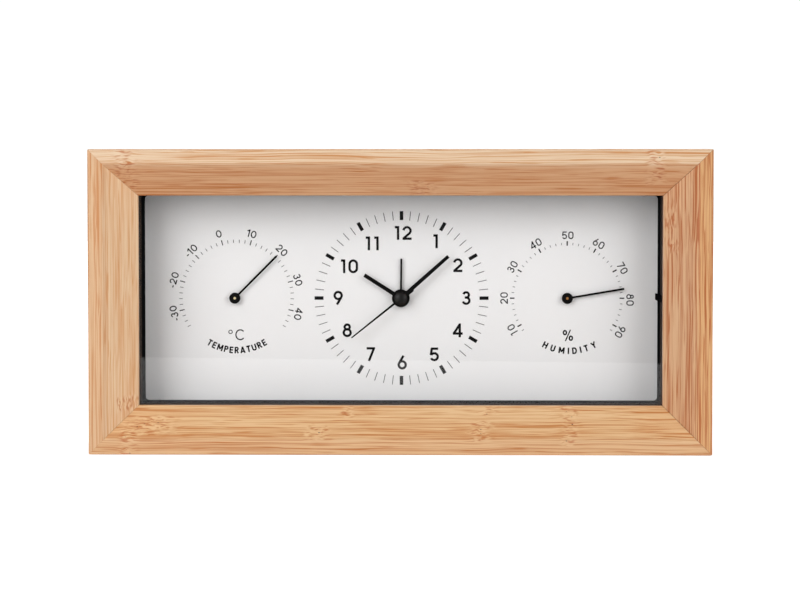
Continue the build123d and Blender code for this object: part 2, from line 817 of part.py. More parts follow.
bobbin_half_length = leg_reach - joiner_clearance
coil_plane = Plane(origin=(rotor_place[0], core_y, centre_z + coil_z), x_dir=(0, 1, 0), z_dir=(1, 0, 0))
with BuildPart() as coil_bobbin:
    with BuildSketch(coil_plane):
        Circle(bobbin_radius)
    extrude(amount=bobbin_half_length, both=True)
    with BuildSketch(coil_plane.offset(-bobbin_half_length),
                     coil_plane.offset(bobbin_half_length - bobbin_flange)):
        Circle(bobbin_flange_radius)
    extrude(amount=bobbin_flange)
    with BuildSketch(coil_plane):
        Rectangle(stator_thickness + 2 * joiner_clearance, core_width + 2 * joiner_clearance)
    extrude(amount=bobbin_half_length, both=True, mode=Mode.SUBTRACT)
finish(coil_bobbin, "coil_bobbin")

with BuildPart() as coil_winding:
    with BuildSketch(coil_plane):
        Circle(winding_radius)
        Circle(bobbin_radius + joiner_clearance, mode=Mode.SUBTRACT)
    extrude(amount=bobbin_half_length - bobbin_flange - joiner_clearance, both=True)
finish(coil_winding, "coil_winding")

# Electronics on the inside of the back shell
board_back = shell_inside_y - end_clearance
board_front = board_back - board_thickness
board_place = (-board_left + board_width / 2, board_bottom + board_height / 2)
chip_place = (board_place[0] - chip_side_share * board_width, board_place[1] + chip_rise_share * board_height)
crystal_place = (board_place[0], board_place[1] - crystal_drop_share * board_height)
with BuildPart() as circuit_board:
    block(board_place, board_width, board_height, board_front, board_back)
finish(circuit_board, "circuit_board")

with BuildPart() as chip_blob:
    post(chip_place, chip_radius, board_front - chip_height, board_front)
    fillet(edges().filter_by(GeomType.CIRCLE).group_by(Axis.Y)[0], radius=chip_round_share * chip_height)
finish(chip_blob, "chip_blob")

with BuildPart() as quartz_crystal:
    crystal_centre = (crystal_place[0], board_front - crystal_radius, centre_z + crystal_place[1])
    with BuildSketch(Plane(origin=crystal_centre, x_dir=(0, 1, 0), z_dir=(1, 0, 0))):
        Circle(crystal_radius)
    extrude(amount=crystal_length / 2, both=True)
    chamfer(edges().filter_by(GeomType.CIRCLE).group_by(Axis.X)[-1],
            length=crystal_chamfer_share * crystal_radius)
finish(quartz_crystal, "quartz_crystal")

with BuildPart() as buzzer:
    post((buzzer_right, buzzer_up), buzzer_radius, board_back - buzzer_height, board_back)
    post((buzzer_right, buzzer_up), buzzer_radius - buzzer_rim, board_back - buzzer_height,
         board_back - buzzer_height + buzzer_rim, mode=Mode.SUBTRACT)
finish(buzzer, "buzzer")

# Alarm contact: a leaf from the middle plate to the back of the alarm wheel
spring_back = alarm_layer + wheel_thickness + end_clearance + alarm_spring_thickness
with BuildPart() as alarm_contact_spring:
    block((0, (alarm_spring_top + alarm_spring_bend) / 2), alarm_spring_width,
          alarm_spring_top - alarm_spring_bend, middle_front - alarm_spring_thickness, middle_front)
    block((0, alarm_spring_bend + alarm_spring_thickness / 2), alarm_spring_width, alarm_spring_thickness,
          spring_back - alarm_spring_thickness, middle_front)
    block((0, (alarm_spring_tip + alarm_spring_bend + alarm_spring_thickness) / 2), alarm_spring_width,
          alarm_spring_bend + alarm_spring_thickness - alarm_spring_tip,
          spring_back - alarm_spring_thickness, spring_back)
finish(alarm_contact_spring, "alarm_contact_spring")

# Battery and its two contacts
battery_z = centre_z - battery_drop
contact_plane = Plane(origin=(0, battery_y, battery_z), x_dir=(1, 0, 0), z_dir=(0, 0, 1))
nub_end = half_room - contact_thickness - end_clearance
battery_left = nub_end - battery_length
with BuildPart() as battery:
    with BuildSketch(Plane(origin=(battery_left, battery_y, battery_z), x_dir=(0, 1, 0), z_dir=(1, 0, 0))):
        Circle(battery_radius)
    extrude(amount=battery_length - battery_nub_length)
    fillet(edges().filter_by(GeomType.CIRCLE), radius=battery_rim)
    with BuildSketch(Plane(origin=(nub_end, battery_y, battery_z), x_dir=(0, 1, 0), z_dir=(-1, 0, 0))):
        Circle(battery_nub_radius)
    extrude(amount=2 * battery_nub_length)
finish(battery, "battery")

with BuildPart() as battery_contact_positive:
    with BuildSketch(contact_plane):
        with Locations((half_room - contact_thickness / 2, 0)):
            Rectangle(contact_thickness, contact_width)
    extrude(amount=contact_height / 2, both=True)
finish(battery_contact_positive, "battery_contact_positive")

leaf_outline = [
    (-half_room, -contact_width / 2),
    (contact_thickness - half_room, -contact_width / 2),
    (contact_thickness - half_room, contact_width / 2 - leaf_thickness),
    (battery_left - end_clearance - leaf_thickness, leaf_thickness),
    (battery_left - end_clearance, 0),
    (battery_left - end_clearance, leaf_thickness),
    (2 * contact_thickness - half_room, contact_width / 2),
    (-half_room, contact_width / 2),
]
with BuildPart() as battery_contact_negative:
    with BuildSketch(contact_plane):
        with BuildLine():
            Polyline(*leaf_outline, close=True)
        make_face()
    extrude(amount=contact_height / 2, both=True)
finish(battery_contact_negative, "battery_contact_negative")


def machine_screw(place, radius, head_radius, tip, under_head, head_end, x=0):
    """Add a screw along y that was driven from the back: shank, round head and cross recess."""
    post(place, radius, tip, under_head, x)
    post(place, head_radius, under_head, head_end, x)
    drive_slot(place, head_radius, head_end, x)


with BuildPart() as movement_screws:
    for place in case_screw_places:
        machine_screw(place, case_screw_radius, case_screw_head_radius, plate_back - end_clearance,
                      shell_back_y - case_screw_head_depth, shell_back_y)
finish(movement_screws, "movement_screws")

with BuildPart() as movement_mounting_screws:
    for place in ear_screw_places:
        machine_screw(place, ear_screw_radius, ear_screw_head_radius, dial_back + end_clearance,
                      plate_back, plate_back + ear_screw_head_height)
finish(movement_mounting_screws, "movement_mounting_screws")


def hand(angle, length, root_width, tip_width, front, radius, bore, tail_length=0, tail_width=0):
    """Add a flat hand with a round hub that is pressed on its tube."""
    with BuildSketch(dial_plane(front + hand_thickness)) as section:
        Polygon(*blade(angle, length, root_width, tip_width, tail_length, tail_width), align=None)
        Circle(radius)
        if bore:
            Circle(bore, mode=Mode.SUBTRACT)
    extrude(section.sketch, amount=hand_thickness)


with BuildPart() as alarm_hand:
    hand(alarm_angle, alarm_length, alarm_root_width, alarm_tip_width, alarm_hand_front,
         hub_radius, alarm_tube_outer + hand_clearance)
finish(alarm_hand, "alarm_hand")

with BuildPart() as hour_hand:
    hand(hour_angle, hour_length, hour_root_width, hour_tip_width, hour_hand_front,
         hub_radius, hour_tube_outer + hand_clearance)
finish(hour_hand, "hour_hand")

with BuildPart() as minute_hand:
    hand(minute_angle, minute_length, minute_root_width, minute_tip_width, minute_hand_front,
         minute_hub_radius, minute_tube_outer + hand_clearance)
finish(minute_hand, "minute_hand")

with BuildPart() as second_hand:
    hand(second_angle, second_length, second_root_width, second_tip_width, second_hand_front,
         cap_radius, arbor_radius + hand_clearance, second_tail_length, second_tail_width)
finish(second_hand, "second_hand")

dome_radius = (cap_radius ** 2 + cap_height ** 2) / (2 * cap_height)
with BuildPart() as second_hand_cap:
    with BuildSketch(Plane(origin=(0, second_hand_front, centre_z), x_dir=(1, 0, 0), z_dir=(0, 0, 1))):
        with BuildLine():
            Line((0, 0), (0, -cap_height))
            RadiusArc((0, -cap_height), (cap_radius, 0), -dome_radius)
            Line((cap_radius, 0), (0, 0))
        make_face()
    revolve(axis=Axis((0, 0, centre_z), (0, 1, 0)))
finish(second_hand_cap, "second_hand_cap")

# Thermometer and hygrometer: a cup behind the dial, a coil that winds with heat or damp,
# an arbor that it turns, a bridge that holds the arbor's back end, and the pointer
cup_base_back = floor_back + cup_base
cup_back = floor_back + cup_depth
bridge_front = cup_back - bridge_thickness
coil_front = cup_base_back + coil_start
coil_back = coil_front + coil_strip_width
coil_start_radius = coil_inner_radius + coil_strip_thickness / 2 + coil_pitch / 4
pointer_front = dial_front - pointer_gap - pointer_hub_thickness
bridge_post_places = [(0, -bridge_spread), (0, bridge_spread)]
cup_ear_places = [(0, -cup_ear_reach), (0, cup_ear_reach)]


def spiral_arcs(radius, turns):
    """Centre, radius and side of each half turn of a flat spiral that opens by coil_pitch a turn."""
    shift = coil_pitch / 4
    return [(-shift if half % 2 == 0 else shift, radius + half * coil_pitch / 2, 1 if half % 2 == 0 else -1)
            for half in range(2 * turns)]


def coil_outline(turns):
    """Draw the spiral strip's two long sides and its ends as arcs and lines."""
    arcs = spiral_arcs(coil_start_radius, turns)
    half_strip = coil_strip_thickness / 2
    sides = []
    for shift in (-half_strip, half_strip):
        for centre_x, radius, side in arcs:
            start = 0 if side == 1 else half_turn
            sides.append(CenterArc((centre_x, 0), radius + shift, start, half_turn))
    first_x, first_radius, _ = arcs[0]
    last_x, last_radius, _ = arcs[-1]
    inner_end = first_x + first_radius
    outer_end = last_x + last_radius
    sides.append(Line((inner_end - half_strip, 0), (inner_end + half_strip, 0)))
    sides.append(Line((outer_end - half_strip, 0), (outer_end + half_strip, 0)))
    return sides


def stud_place(turns):
    """Place of the stud that holds the outer end of the coil."""
    centre_x, radius, _ = spiral_arcs(coil_start_radius, turns)[-1]
    return (centre_x + radius + coil_strip_thickness / 2 + stud_gap + stud_radius, 0)


instruments = [
    ("thermometer", -instrument_offset, thermometer_angle, thermometer_length, thermometer_coil_turns),
    ("hygrometer", instrument_offset, hygrometer_angle, hygrometer_length, hygrometer_coil_turns),
]
for name, offset_x, angle, length, turns in instruments:
    with BuildPart() as cup:
        with BuildSketch(dial_plane(cup_base_back, offset_x)):
            Circle(cup_radius)
            Rectangle(cup_ear_width, 2 * (cup_radius + cup_ear_length))
            with Locations(*cup_ear_places):
                Circle(ear_screw_radius + joiner_clearance, mode=Mode.SUBTRACT)
            Circle(pointer_arbor_radius + run_clearance, mode=Mode.SUBTRACT)
        extrude(amount=cup_base)
        tube(middle, cup_radius, cup_radius - cup_wall, cup_base_back, cup_back, offset_x)
        post(stud_place(turns), stud_radius, cup_base_back, coil_back, offset_x)
        for place in bridge_post_places:
            post(place, bridge_post_radius, cup_base_back, bridge_front, offset_x)
            post(place, bridge_screw_radius + joiner_clearance, bridge_front - bridge_screw_length,
                 bridge_front, offset_x, Mode.SUBTRACT)
    finish(cup, name + "_cup")

    with BuildPart() as coil:
        with BuildSketch(dial_plane(coil_back, offset_x)):
            with BuildLine():
                coil_outline(turns)
            make_face()
        extrude(amount=coil_strip_width)
    finish(coil, name + "_coil")

    with BuildPart() as arbor:
        post(middle, pointer_arbor_radius, pointer_front - arbor_proud,
             bridge_front + bridge_thickness, offset_x)
        post(middle, collet_radius, coil_front, coil_back, offset_x)
    finish(arbor, name + "_arbor")

    with BuildPart() as pointer:
        with BuildSketch(dial_plane(pointer_front + pointer_hub_thickness, offset_x)):
            Circle(pointer_hub_radius)
            Circle(pointer_arbor_radius + hand_clearance, mode=Mode.SUBTRACT)
        extrude(amount=pointer_hub_thickness)
        with BuildSketch(dial_plane(pointer_front + pointer_hub_thickness, offset_x)):
            Polygon(*blade(angle, length, pointer_width, pointer_width), align=None)
            Circle(pointer_hub_radius - joiner_clearance, mode=Mode.SUBTRACT)
        extrude(amount=pointer_thickness)
    finish(pointer, name + "_pointer")

    with BuildPart() as bridge:
        with BuildSketch(dial_plane(bridge_front + bridge_thickness, offset_x)):
            Rectangle(bridge_width, 2 * (bridge_spread + bridge_end))
            Circle(pointer_arbor_radius + run_clearance, mode=Mode.SUBTRACT)
            with Locations(*bridge_post_places):
                Circle(bridge_screw_radius + joiner_clearance, mode=Mode.SUBTRACT)
        extrude(amount=bridge_thickness)
    finish(bridge, name + "_bridge")

with BuildPart() as bridge_screws:
    for _, offset_x, _, _, _ in instruments:
        for place in bridge_post_places:
            machine_screw(place, bridge_screw_radius, bridge_screw_head_radius,
                          bridge_front - bridge_screw_length + end_clearance, cup_back,
                          cup_back + bridge_screw_head_height, offset_x)
finish(bridge_screws, "bridge_screws")

with BuildPart() as instrument_screws:
    for _, offset_x, _, _, _ in instruments:
        for place in cup_ear_places:
            machine_screw(place, ear_screw_radius, ear_screw_head_radius, dial_back + end_clearance,
                          cup_base_back, cup_base_back + ear_screw_head_height, offset_x)
finish(instrument_screws, "instrument_screws")

# Back panel with the movement's cut-out, vents behind both instruments and countersunk wood screws
panel_hole = movement_side + 2 * panel_hole_clearance
vent_places = [offset_x + (index - (vent_count - 1) / 2) * vent_pitch
               for _, offset_x, _, _, _ in instruments for index in range(vent_count)]
with BuildPart() as back_panel:
    with BuildSketch(facing(back_y)):
        with Locations((0, centre_z)):
            Rectangle(panel_width, panel_height)
            Rectangle(panel_hole, panel_hole, mode=Mode.SUBTRACT)
        with Locations(*[(x, centre_z) for x in vent_places]):
            SlotOverall(vent_length, vent_width, rotation=90, mode=Mode.SUBTRACT)
        with Locations(*wood_screw_places):
            Circle(wood_screw_radius + joiner_clearance, mode=Mode.SUBTRACT)
    extrude(amount=panel_thickness)
    for x, z in wood_screw_places:
        with Locations(Plane(origin=(x, back_y, z), x_dir=(1, 0, 0), z_dir=(0, 1, 0))):
            Cone(wood_screw_radius + joiner_clearance, wood_screw_head_radius + joiner_clearance,
                 wood_screw_head_depth, align=(Align.CENTER, Align.CENTER, Align.MAX), mode=Mode.SUBTRACT)
finish(back_panel, "back_panel")

with BuildPart() as panel_screws:
    for x, z in wood_screw_places:
        spot = (x, z - centre_z)
        post(spot, wood_screw_radius, back_y - wood_screw_length, back_y - wood_screw_head_depth / 2)
        with Locations(Plane(origin=(x, back_y, z), x_dir=(1, 0, 0), z_dir=(0, 1, 0))):
            Cone(wood_screw_radius, wood_screw_head_radius, wood_screw_head_depth,
                 align=(Align.CENTER, Align.CENTER, Align.MAX))
        drive_slot(spot, wood_screw_head_radius, back_y)
finish(panel_screws, "panel_screws")
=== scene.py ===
from math import cos, e, pi, radians, sin

import bpy
from mathutils import Matrix, Vector


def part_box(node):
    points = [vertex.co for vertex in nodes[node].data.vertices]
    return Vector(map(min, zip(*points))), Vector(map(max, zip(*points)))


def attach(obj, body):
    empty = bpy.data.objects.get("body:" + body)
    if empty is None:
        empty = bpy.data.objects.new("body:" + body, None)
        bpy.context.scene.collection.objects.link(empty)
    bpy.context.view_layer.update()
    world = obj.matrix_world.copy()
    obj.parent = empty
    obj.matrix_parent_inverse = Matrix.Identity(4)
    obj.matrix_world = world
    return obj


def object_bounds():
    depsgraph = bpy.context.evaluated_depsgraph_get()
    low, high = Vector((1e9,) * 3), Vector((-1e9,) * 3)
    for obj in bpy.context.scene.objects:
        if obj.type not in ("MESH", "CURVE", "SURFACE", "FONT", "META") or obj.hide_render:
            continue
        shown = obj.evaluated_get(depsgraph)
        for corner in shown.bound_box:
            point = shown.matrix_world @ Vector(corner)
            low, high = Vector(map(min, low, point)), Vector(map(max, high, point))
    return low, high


# Looks of the thermometer, clock and hygrometer in their bamboo frame, in metres.
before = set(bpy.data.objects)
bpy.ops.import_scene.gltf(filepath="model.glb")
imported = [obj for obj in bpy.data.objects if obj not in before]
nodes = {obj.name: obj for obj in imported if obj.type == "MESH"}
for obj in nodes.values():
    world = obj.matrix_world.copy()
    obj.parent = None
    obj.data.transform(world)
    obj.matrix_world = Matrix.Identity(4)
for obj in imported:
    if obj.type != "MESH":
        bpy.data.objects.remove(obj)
cad_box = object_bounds()

MM = 0.001

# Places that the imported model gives
frame_low, frame_high = cad_box
frame_height = frame_high[2] - frame_low[2]
half_width = (frame_high[0] - frame_low[0]) / 2
centre_z = frame_height / 2
dial_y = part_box("dial_plate")[0][1]
lining_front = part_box("front_spacers")[0][1]
cup_low, cup_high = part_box("hygrometer_cup")
instrument_x = (cup_low[0] + cup_high[0]) / 2


# Node trees

class Term:
    """A socket of a node tree, with the operators that the finishes use."""

    def __init__(self, tree, socket):
        self.tree = tree
        self.socket = socket

    def maths(self, operation, *values):
        return self.tree.node("ShaderNodeMath", {"operation": operation}, dict(enumerate(values)))

    def __add__(self, other):
        return self.maths("ADD", self, other)

    def __sub__(self, other):
        return self.maths("SUBTRACT", self, other)

    def __mul__(self, other):
        return self.maths("MULTIPLY", self, other)

    def __truediv__(self, other):
        return self.maths("DIVIDE", self, other)

    def __pow__(self, other):
        return self.maths("POWER", self, other)

    def __rpow__(self, other):
        return self.maths("POWER", other, self)

    def __rsub__(self, other):
        return self.maths("SUBTRACT", other, self)

    def __rtruediv__(self, other):
        return self.maths("DIVIDE", other, self)

    def __abs__(self):
        return self.maths("ABSOLUTE", self)

    __radd__ = __add__
    __rmul__ = __mul__


class Tree:
    """A node tree of a material, a world or a Geometry Nodes group, while it is built."""

    def __init__(self, tree):
        self.tree = tree
        tree.nodes.clear()

    def node(self, kind, settings=None, inputs=None, out=0):
        """Add a node: its settings first, then the value or the link of each socket that is named."""
        node = self.tree.nodes.new(kind)
        for name, value in (settings or {}).items():
            setattr(node, name, value)
        for name, value in (inputs or {}).items():
            socket = self.find(node.inputs, name)
            if isinstance(value, Term):
                self.tree.links.new(value.socket, socket)
            else:
                socket.default_value = value
        return Term(self, self.find(node.outputs, out)) if len(node.outputs) else None

    @staticmethod
    def find(sockets, name):
        """A socket by its number, its identifier or its name."""
        if isinstance(name, int):
            return sockets[name]
        return next((socket for socket in sockets if socket.identifier == name), None) or sockets[name]

    def rise(self, value, low, high):
        """A smooth step from 0 at low to 1 at high."""
        return self.node("ShaderNodeMapRange", {"interpolation_type": "SMOOTHSTEP"},
                         {"Value": value, "From Min": low, "From Max": high})

    def mix(self, first, second, factor, blend="MIX"):
        """Mix two colours by a factor."""
        return self.node("ShaderNodeMix", {"data_type": "RGBA", "blend_type": blend},
                         {"Factor_Float": factor, "A_Color": first, "B_Color": second}, "Result_Color")

    def point(self, x, y, z):
        return self.node("ShaderNodeCombineXYZ", None, {"X": x, "Y": y, "Z": z})

    def noise(self, x, y, z, detail=2.0, roughness=0.5):
        """Smooth noise with features about one unit wide, from 0 to 1."""
        return self.node("ShaderNodeTexNoise", None,
                         {"Vector": self.point(x, y, z), "Scale": 1.0, "Detail": detail,
                          "Roughness": roughness})

    def cells(self, x, y, z):
        """Distance to the nearest of points scattered about one unit apart."""
        return self.node("ShaderNodeTexVoronoi", None, {"Vector": self.point(x, y, z), "Scale": 1.0},
                         "Distance")

    def bump(self, height, distance, normal=None):
        """A surface that stands proud by distance, in metres, where the height is 1."""
        inputs = {"Height": height, "Distance": distance}
        return self.node("ShaderNodeBump", None, {**inputs, "Normal": normal} if normal else inputs)

    def blend(self, first, second, factor):
        """Mix two directions by a factor."""
        mixed = self.node("ShaderNodeMix", {"data_type": "VECTOR"},
                          {"Factor_Float": factor, "A_Vector": first, "B_Vector": second}, "Result_Vector")
        return self.node("ShaderNodeVectorMath", {"operation": "NORMALIZE"}, {0: mixed})


def linear(red, green, blue):
    """A colour from its 8-bit values."""
    def channel(value):
        share = value / 255
        return share / 12.92 if share <= 0.04045 else ((share + 0.055) / 1.055) ** 2.4
    return (channel(red), channel(green), channel(blue), 1.0)


WHITE = linear(255, 255, 255)


def new_finish(name):
    """A new material, its tree and its Object coordinates in millimetres."""
    material = bpy.data.materials.new(name)
    material.use_nodes = True
    tree = Tree(material.node_tree)
    place = tree.node("ShaderNodeTexCoord", None, None, "Object")
    axes = [tree.node("ShaderNodeSeparateXYZ", None, {"Vector": place}, axis) * (1 / MM) for axis in "XYZ"]
    return material, tree, axes


def surface(tree, inputs):
    """End a finish in a Principled shader."""
    shader = tree.node("ShaderNodeBsdfPrincipled", None, inputs)
    tree.node("ShaderNodeOutputMaterial", None, {"Surface": shader})


# Finishes

# A rail's section, in mm: its width, its flat rim, the depth of the bevel behind it, and how far to either
# side the edge between the two is sanded round
RAIL_WIDTH, FACE_FLAT, BEVEL_DEPTH, EDGE_ROUND = 19.0, 5.9, 12.0, 1.2

# Where the bamboo's plain tone lies between pale and dark, and how far a knot strays from its place, in mm
MEAN_TONE, KNOT_WAVER = 0.27, 3.5

# Browns of the knots' strokes and pores, and of the painted shade on the outer edge and in an open mitre
STROKE_BROWN, PORE_BROWN = linear(190, 112, 64), linear(70, 40, 26)
EDGE_SHADE_BROWN, SEAM_SHADE_BROWN = linear(206, 140, 88), linear(120, 74, 42)


def sanded_edge(tree, inward, inset):
    """The direction that a rail's front faces, turned gradually over the edge from rim to bevel.

    Faces that don't look forwards keep their own direction.
    """
    slope = Vector((inward[0] * BEVEL_DEPTH, FACE_FLAT - RAIL_WIDTH, inward[1] * BEVEL_DEPTH)).normalized()
    turn = tree.rise(inset, FACE_FLAT - EDGE_ROUND, FACE_FLAT + EDGE_ROUND)
    sanded = tree.blend((0.0, -1.0, 0.0), slope, turn)
    flat = tree.node("ShaderNodeNewGeometry", None, None, "Normal")
    forward = tree.node("ShaderNodeSeparateXYZ", None, {"Vector": flat}, "Y") * -1.0
    return tree.blend(flat, sanded, tree.rise(forward, 0.6, 0.7))


def strands(tree, place, along_rate, across_rate, detail=1.0, shift=0.0):
    """Noise about 0, with so many marks to the mm along the fibres and across them."""
    along, across, deep = place
    return tree.noise(along * along_rate, across * across_rate + shift, deep * across_rate, detail) - 0.5


def knot_field(tree, place, inset, seed, knots):
    """How far each place belongs to a knot, from 0 to about 1.

    Each knot is its place along the rail, its half width, and where it starts and ends across the
    rail, in mm, the last two from the outer edge. It wavers by up to KNOT_WAVER either way.
    """
    along, across, deep = place
    field = 0.0
    for middle, width, start, end in knots:
        waver = (tree.noise(across * 0.25, deep * 0.25, seed + middle, 1.0) - 0.5) * 2 * KNOT_WAVER
        offset = (along - middle + waver) / width
        reach = tree.rise(inset, start - 1.0, start + 0.8) * (1.0 - tree.rise(inset, end - 0.8, end + 1.0))
        field = e ** (offset * offset * -1.0) * reach + field
    return field


def bamboo(name, inward, seed, tones, rim_tint, bevel_tint_and_shade, contrast, rim_contrast, knots):
    """Oiled bamboo with its fibres along a rail. Inward is where the frame's opening lies, in x and z.

    The seed moves the pattern to a place of its own. The tones are pale and dark. The rim tint colours
    the flat rim, and the bevel's tint is partly its tone and partly painted light and shade. Contrast scales
    the streaks, and rim_contrast is what the rim has more.
    """
    pale, dark = tones
    material, tree, (x, y, z) = new_finish(name)
    side = half_width / MM - abs(x)
    level = tree.node("ShaderNodeMath", {"operation": "MINIMUM"}, {0: z, 1: frame_height / MM - z})
    along, across, inset = (z, x, side) if inward[0] else (x, z, level)
    across = across + seed * 37.0
    deep = y + seed * 11.0

    # The fibres sway along the rail, and waver where a knot crosses them
    knot = knot_field(tree, (along, across, deep), inset, seed, knots)
    sway = strands(tree, (along, across, deep), 0.02, 0.06) * 3.0
    ripple = strands(tree, (along, across, deep), 0.2, 0.4) * knot * 3.0
    place = (along, across + ripple + sway, deep)

    # Broad stripes, streaks, thin threads, short flame-shaped marks and a fine grain, all along the fibres
    stripe = strands(tree, place, 0.006, 0.5)
    streak = strands(tree, place, 0.012, 1.5)
    thread = strands(tree, place, 0.025, 3.1, 2.0, 9.0)
    flame = strands(tree, place, 0.05, 1.2, 1.0, 31.0)
    fine = strands(tree, place, 0.09, 8.0, 2.0)
    uneven = stripe + streak * 1.8 + thread * 2.4 + fine * 0.7 + tree.rise(flame, 0.1, 0.2) * 0.5
    rim = 1.0 - tree.rise(inset, FACE_FLAT - 1.0, FACE_FLAT + 2.5)
    colour = tree.mix(pale, dark, uneven * contrast * (rim * rim_contrast + 1.0) + MEAN_TONE)

    # Knots: the fibres break up into pale scars and short brown strokes, with a few dark pores
    chop = strands(tree, place, 0.24, 1.35)
    within = tree.rise(knot, 0.12, 0.6)
    scars = (1.0 - tree.rise(chop, -0.14, 0.0)) * within
    strokes = tree.rise(chop, 0.02, 0.16) * within
    pores = 1.0 - tree.rise(tree.cells(along * 0.34, place[1] * 0.5, deep * 0.5), 0.08, 0.17)
    colour = tree.mix(colour, pale, scars * 0.8)
    colour = tree.mix(colour, STROKE_BROWN, strokes * 0.75)
    colour = tree.mix(colour, PORE_BROWN, pores * tree.rise(knot, 0.75, 0.92) * 0.85)

    # The bevel cuts through darker layers, and its tint adds painted light and shade: the top bevel,
    # which faces down, is darker and the left bevel lighter than the lamps make them
    colour = tree.mix(colour, tree.mix(bevel_tint_and_shade, rim_tint, rim), 1.0, "MULTIPLY")
    # Painted shade along the sharp outer edge, standing for the shade of a rounded edge that turns from the
    # light
    front_edge = 1.0 - tree.rise(y - frame_low[1] / MM, 0.6, 1.4)
    edge = (1.0 - tree.rise(inset, 0.2, 0.7)) * front_edge
    colour = tree.mix(colour, EDGE_SHADE_BROWN, edge * 0.35)

    # The mitre shows as a change of tone, and as a fine dark line where it has opened, most at the right: the
    # joint's own dark with painted shade in its gap
    opening = tree.rise(x, -60.0, 90.0) * 0.4 + 0.27 - rim * 0.14
    seam = (1.0 - tree.rise(abs(side - level), 0.04, 0.2)) * opening
    colour = tree.mix(colour, SEAM_SHADE_BROWN, seam)

    relief = fine * 0.3 - thread * 0.4 - seam * 2.0 - pores * knot * 0.8
    surface(tree, {"Base Color": colour, "Roughness": 0.44 + thread * 0.16,
                   "Coat Weight": 0.15, "Coat Roughness": 0.3,
                   "Normal": tree.bump(relief, 0.04 * MM, sanded_edge(tree, inward, inset))})
    return material


def glass(name):
    """Clear flat glass: it mirrors about 3 % of the light and lets the rest through."""
    material, tree, (x, y, z) = new_finish(name)
    wave = tree.noise(x * 0.02, y * 0.02, z * 0.02, 1.0)
    surface(tree, {"Base Color": WHITE, "Metallic": 1.0, "Roughness": 0.01, "Alpha": 0.025 + wave * 0.006})
    return material


def plastic(name, colour, shade, roughness, grain=5.0, depth=0.01 * MM, gloss=0.5):
    """Moulded plastic or paint in a cloudy colour. The grain is in marks to the mm, and stands depth high."""
    material, tree, (x, y, z) = new_finish(name)
    cloud = tree.noise(x * 0.12, y * 0.12, z * 0.12, 3.0)
    speck = tree.noise(x * grain, y * grain, z * grain, 2.0)
    surface(tree, {"Base Color": tree.mix(colour, shade, tree.rise(cloud + (speck - 0.5) * 0.5, 0.3, 0.8)),
                   "Roughness": roughness + (speck - 0.5) * 0.12, "Specular IOR Level": gloss,
                   "Normal": tree.bump(speck, depth)})
    return material


def metal(name, colour, shade, roughness):
    """Metal with fine tool marks along x."""
    material, tree, (x, y, z) = new_finish(name)
    marks = tree.noise(x * 0.3, y * 6.0, z * 6.0, 3.0, 0.6)
    stain = tree.noise(x * 0.4, y * 0.4, z * 0.4, 3.0)
    surface(tree, {"Base Color": tree.mix(colour, shade, tree.rise(stain, 0.4, 0.75)), "Metallic": 1.0,
                   "Roughness": roughness + (marks - 0.5) * 0.2, "Normal": tree.bump(marks, 0.006 * MM)})
    return material


# In mm: the width of the band of painted shaded wood behind the glass, how far the rib on the right wall lies
# above the middle, and half of the rib's height
SHADED_WOOD_WIDTH, RIB_RISE, RIB_HALF_HEIGHT = 5.4, 0.75, 1.3


def lining(name):
    """Matt black lining, with a brown-grey band of painted shade on its front edge behind the glass: the
    colour of the frame's wood in shadow.

    The small rib on the right wall has no such band.
    """
    material, tree, (x, y, z) = new_finish(name)
    mottle = tree.noise(x * 3.0, y * 3.0, z * 3.0, 3.0)
    from_rib = abs(z - (centre_z / MM + RIB_RISE))
    rib = tree.rise(x, 0.0, 1.0) * (1.0 - tree.rise(from_rib, RIB_HALF_HEIGHT, RIB_HALF_HEIGHT + 0.1))
    # Painted shade: a brown-grey band on the front of the lining, the colour of the bamboo rabbet in shadow,
    # left off the rib
    front = (1.0 - tree.rise(y - lining_front / MM, SHADED_WOOD_WIDTH, SHADED_WOOD_WIDTH + 0.9)) * (1.0 - rib)
    shaded_wood = tree.mix(linear(60, 51, 46), linear(52, 45, 41), mottle)
    colour = tree.mix(tree.mix(linear(7, 7, 9), linear(9, 9, 11), mottle), shaded_wood, front)
    surface(tree, {"Base Color": colour, "Roughness": 0.8 + front * 0.15, "Specular IOR Level": 0.0,
                   "Normal": tree.bump(mottle, 0.004 * MM)})
    return material


def foam(name):
    """Black foam strip with open cells."""
    material, tree, (x, y, z) = new_finish(name)
    cells = tree.cells(x * 2.5, y * 2.5, z * 2.5)
    surface(tree, {"Base Color": tree.mix(linear(18, 18, 18), linear(52, 52, 54), cells),
                   "Roughness": 0.9, "Normal": tree.bump(cells, 0.1 * MM)})
    return material


def dial_sheet(name):
    """Matt white printed sheet."""
    material, tree, (x, y, z) = new_finish(name)
    grain = tree.noise(x * 5.0, y * 5.0, z * 5.0, 3.0)
    surface(tree, {"Base Color": tree.mix(linear(237, 237, 238), linear(243, 243, 243), grain),
                   "Roughness": 0.6, "Normal": tree.bump(grain, 0.004 * MM)})
    return material


def fibreboard(name):
    """Thin board, painted black: short fibres show through the paint."""
    material, tree, (x, y, z) = new_finish(name)
    fibres = tree.noise(x * 0.9, y * 0.9, z * 3.2, 4.0, 0.7)
    speck = tree.noise(x * 6.0, y * 6.0, z * 6.0, 2.0)
    colour = tree.mix(linear(26, 26, 27), linear(52, 50, 48), tree.rise(fibres, 0.45, 0.8))
    surface(tree, {"Base Color": colour, "Roughness": 0.7 + (speck - 0.5) * 0.15,
                   "Normal": tree.bump(fibres + speck * 0.4, 0.06 * MM)})
    return material


WIRE_WIDTH = 0.2


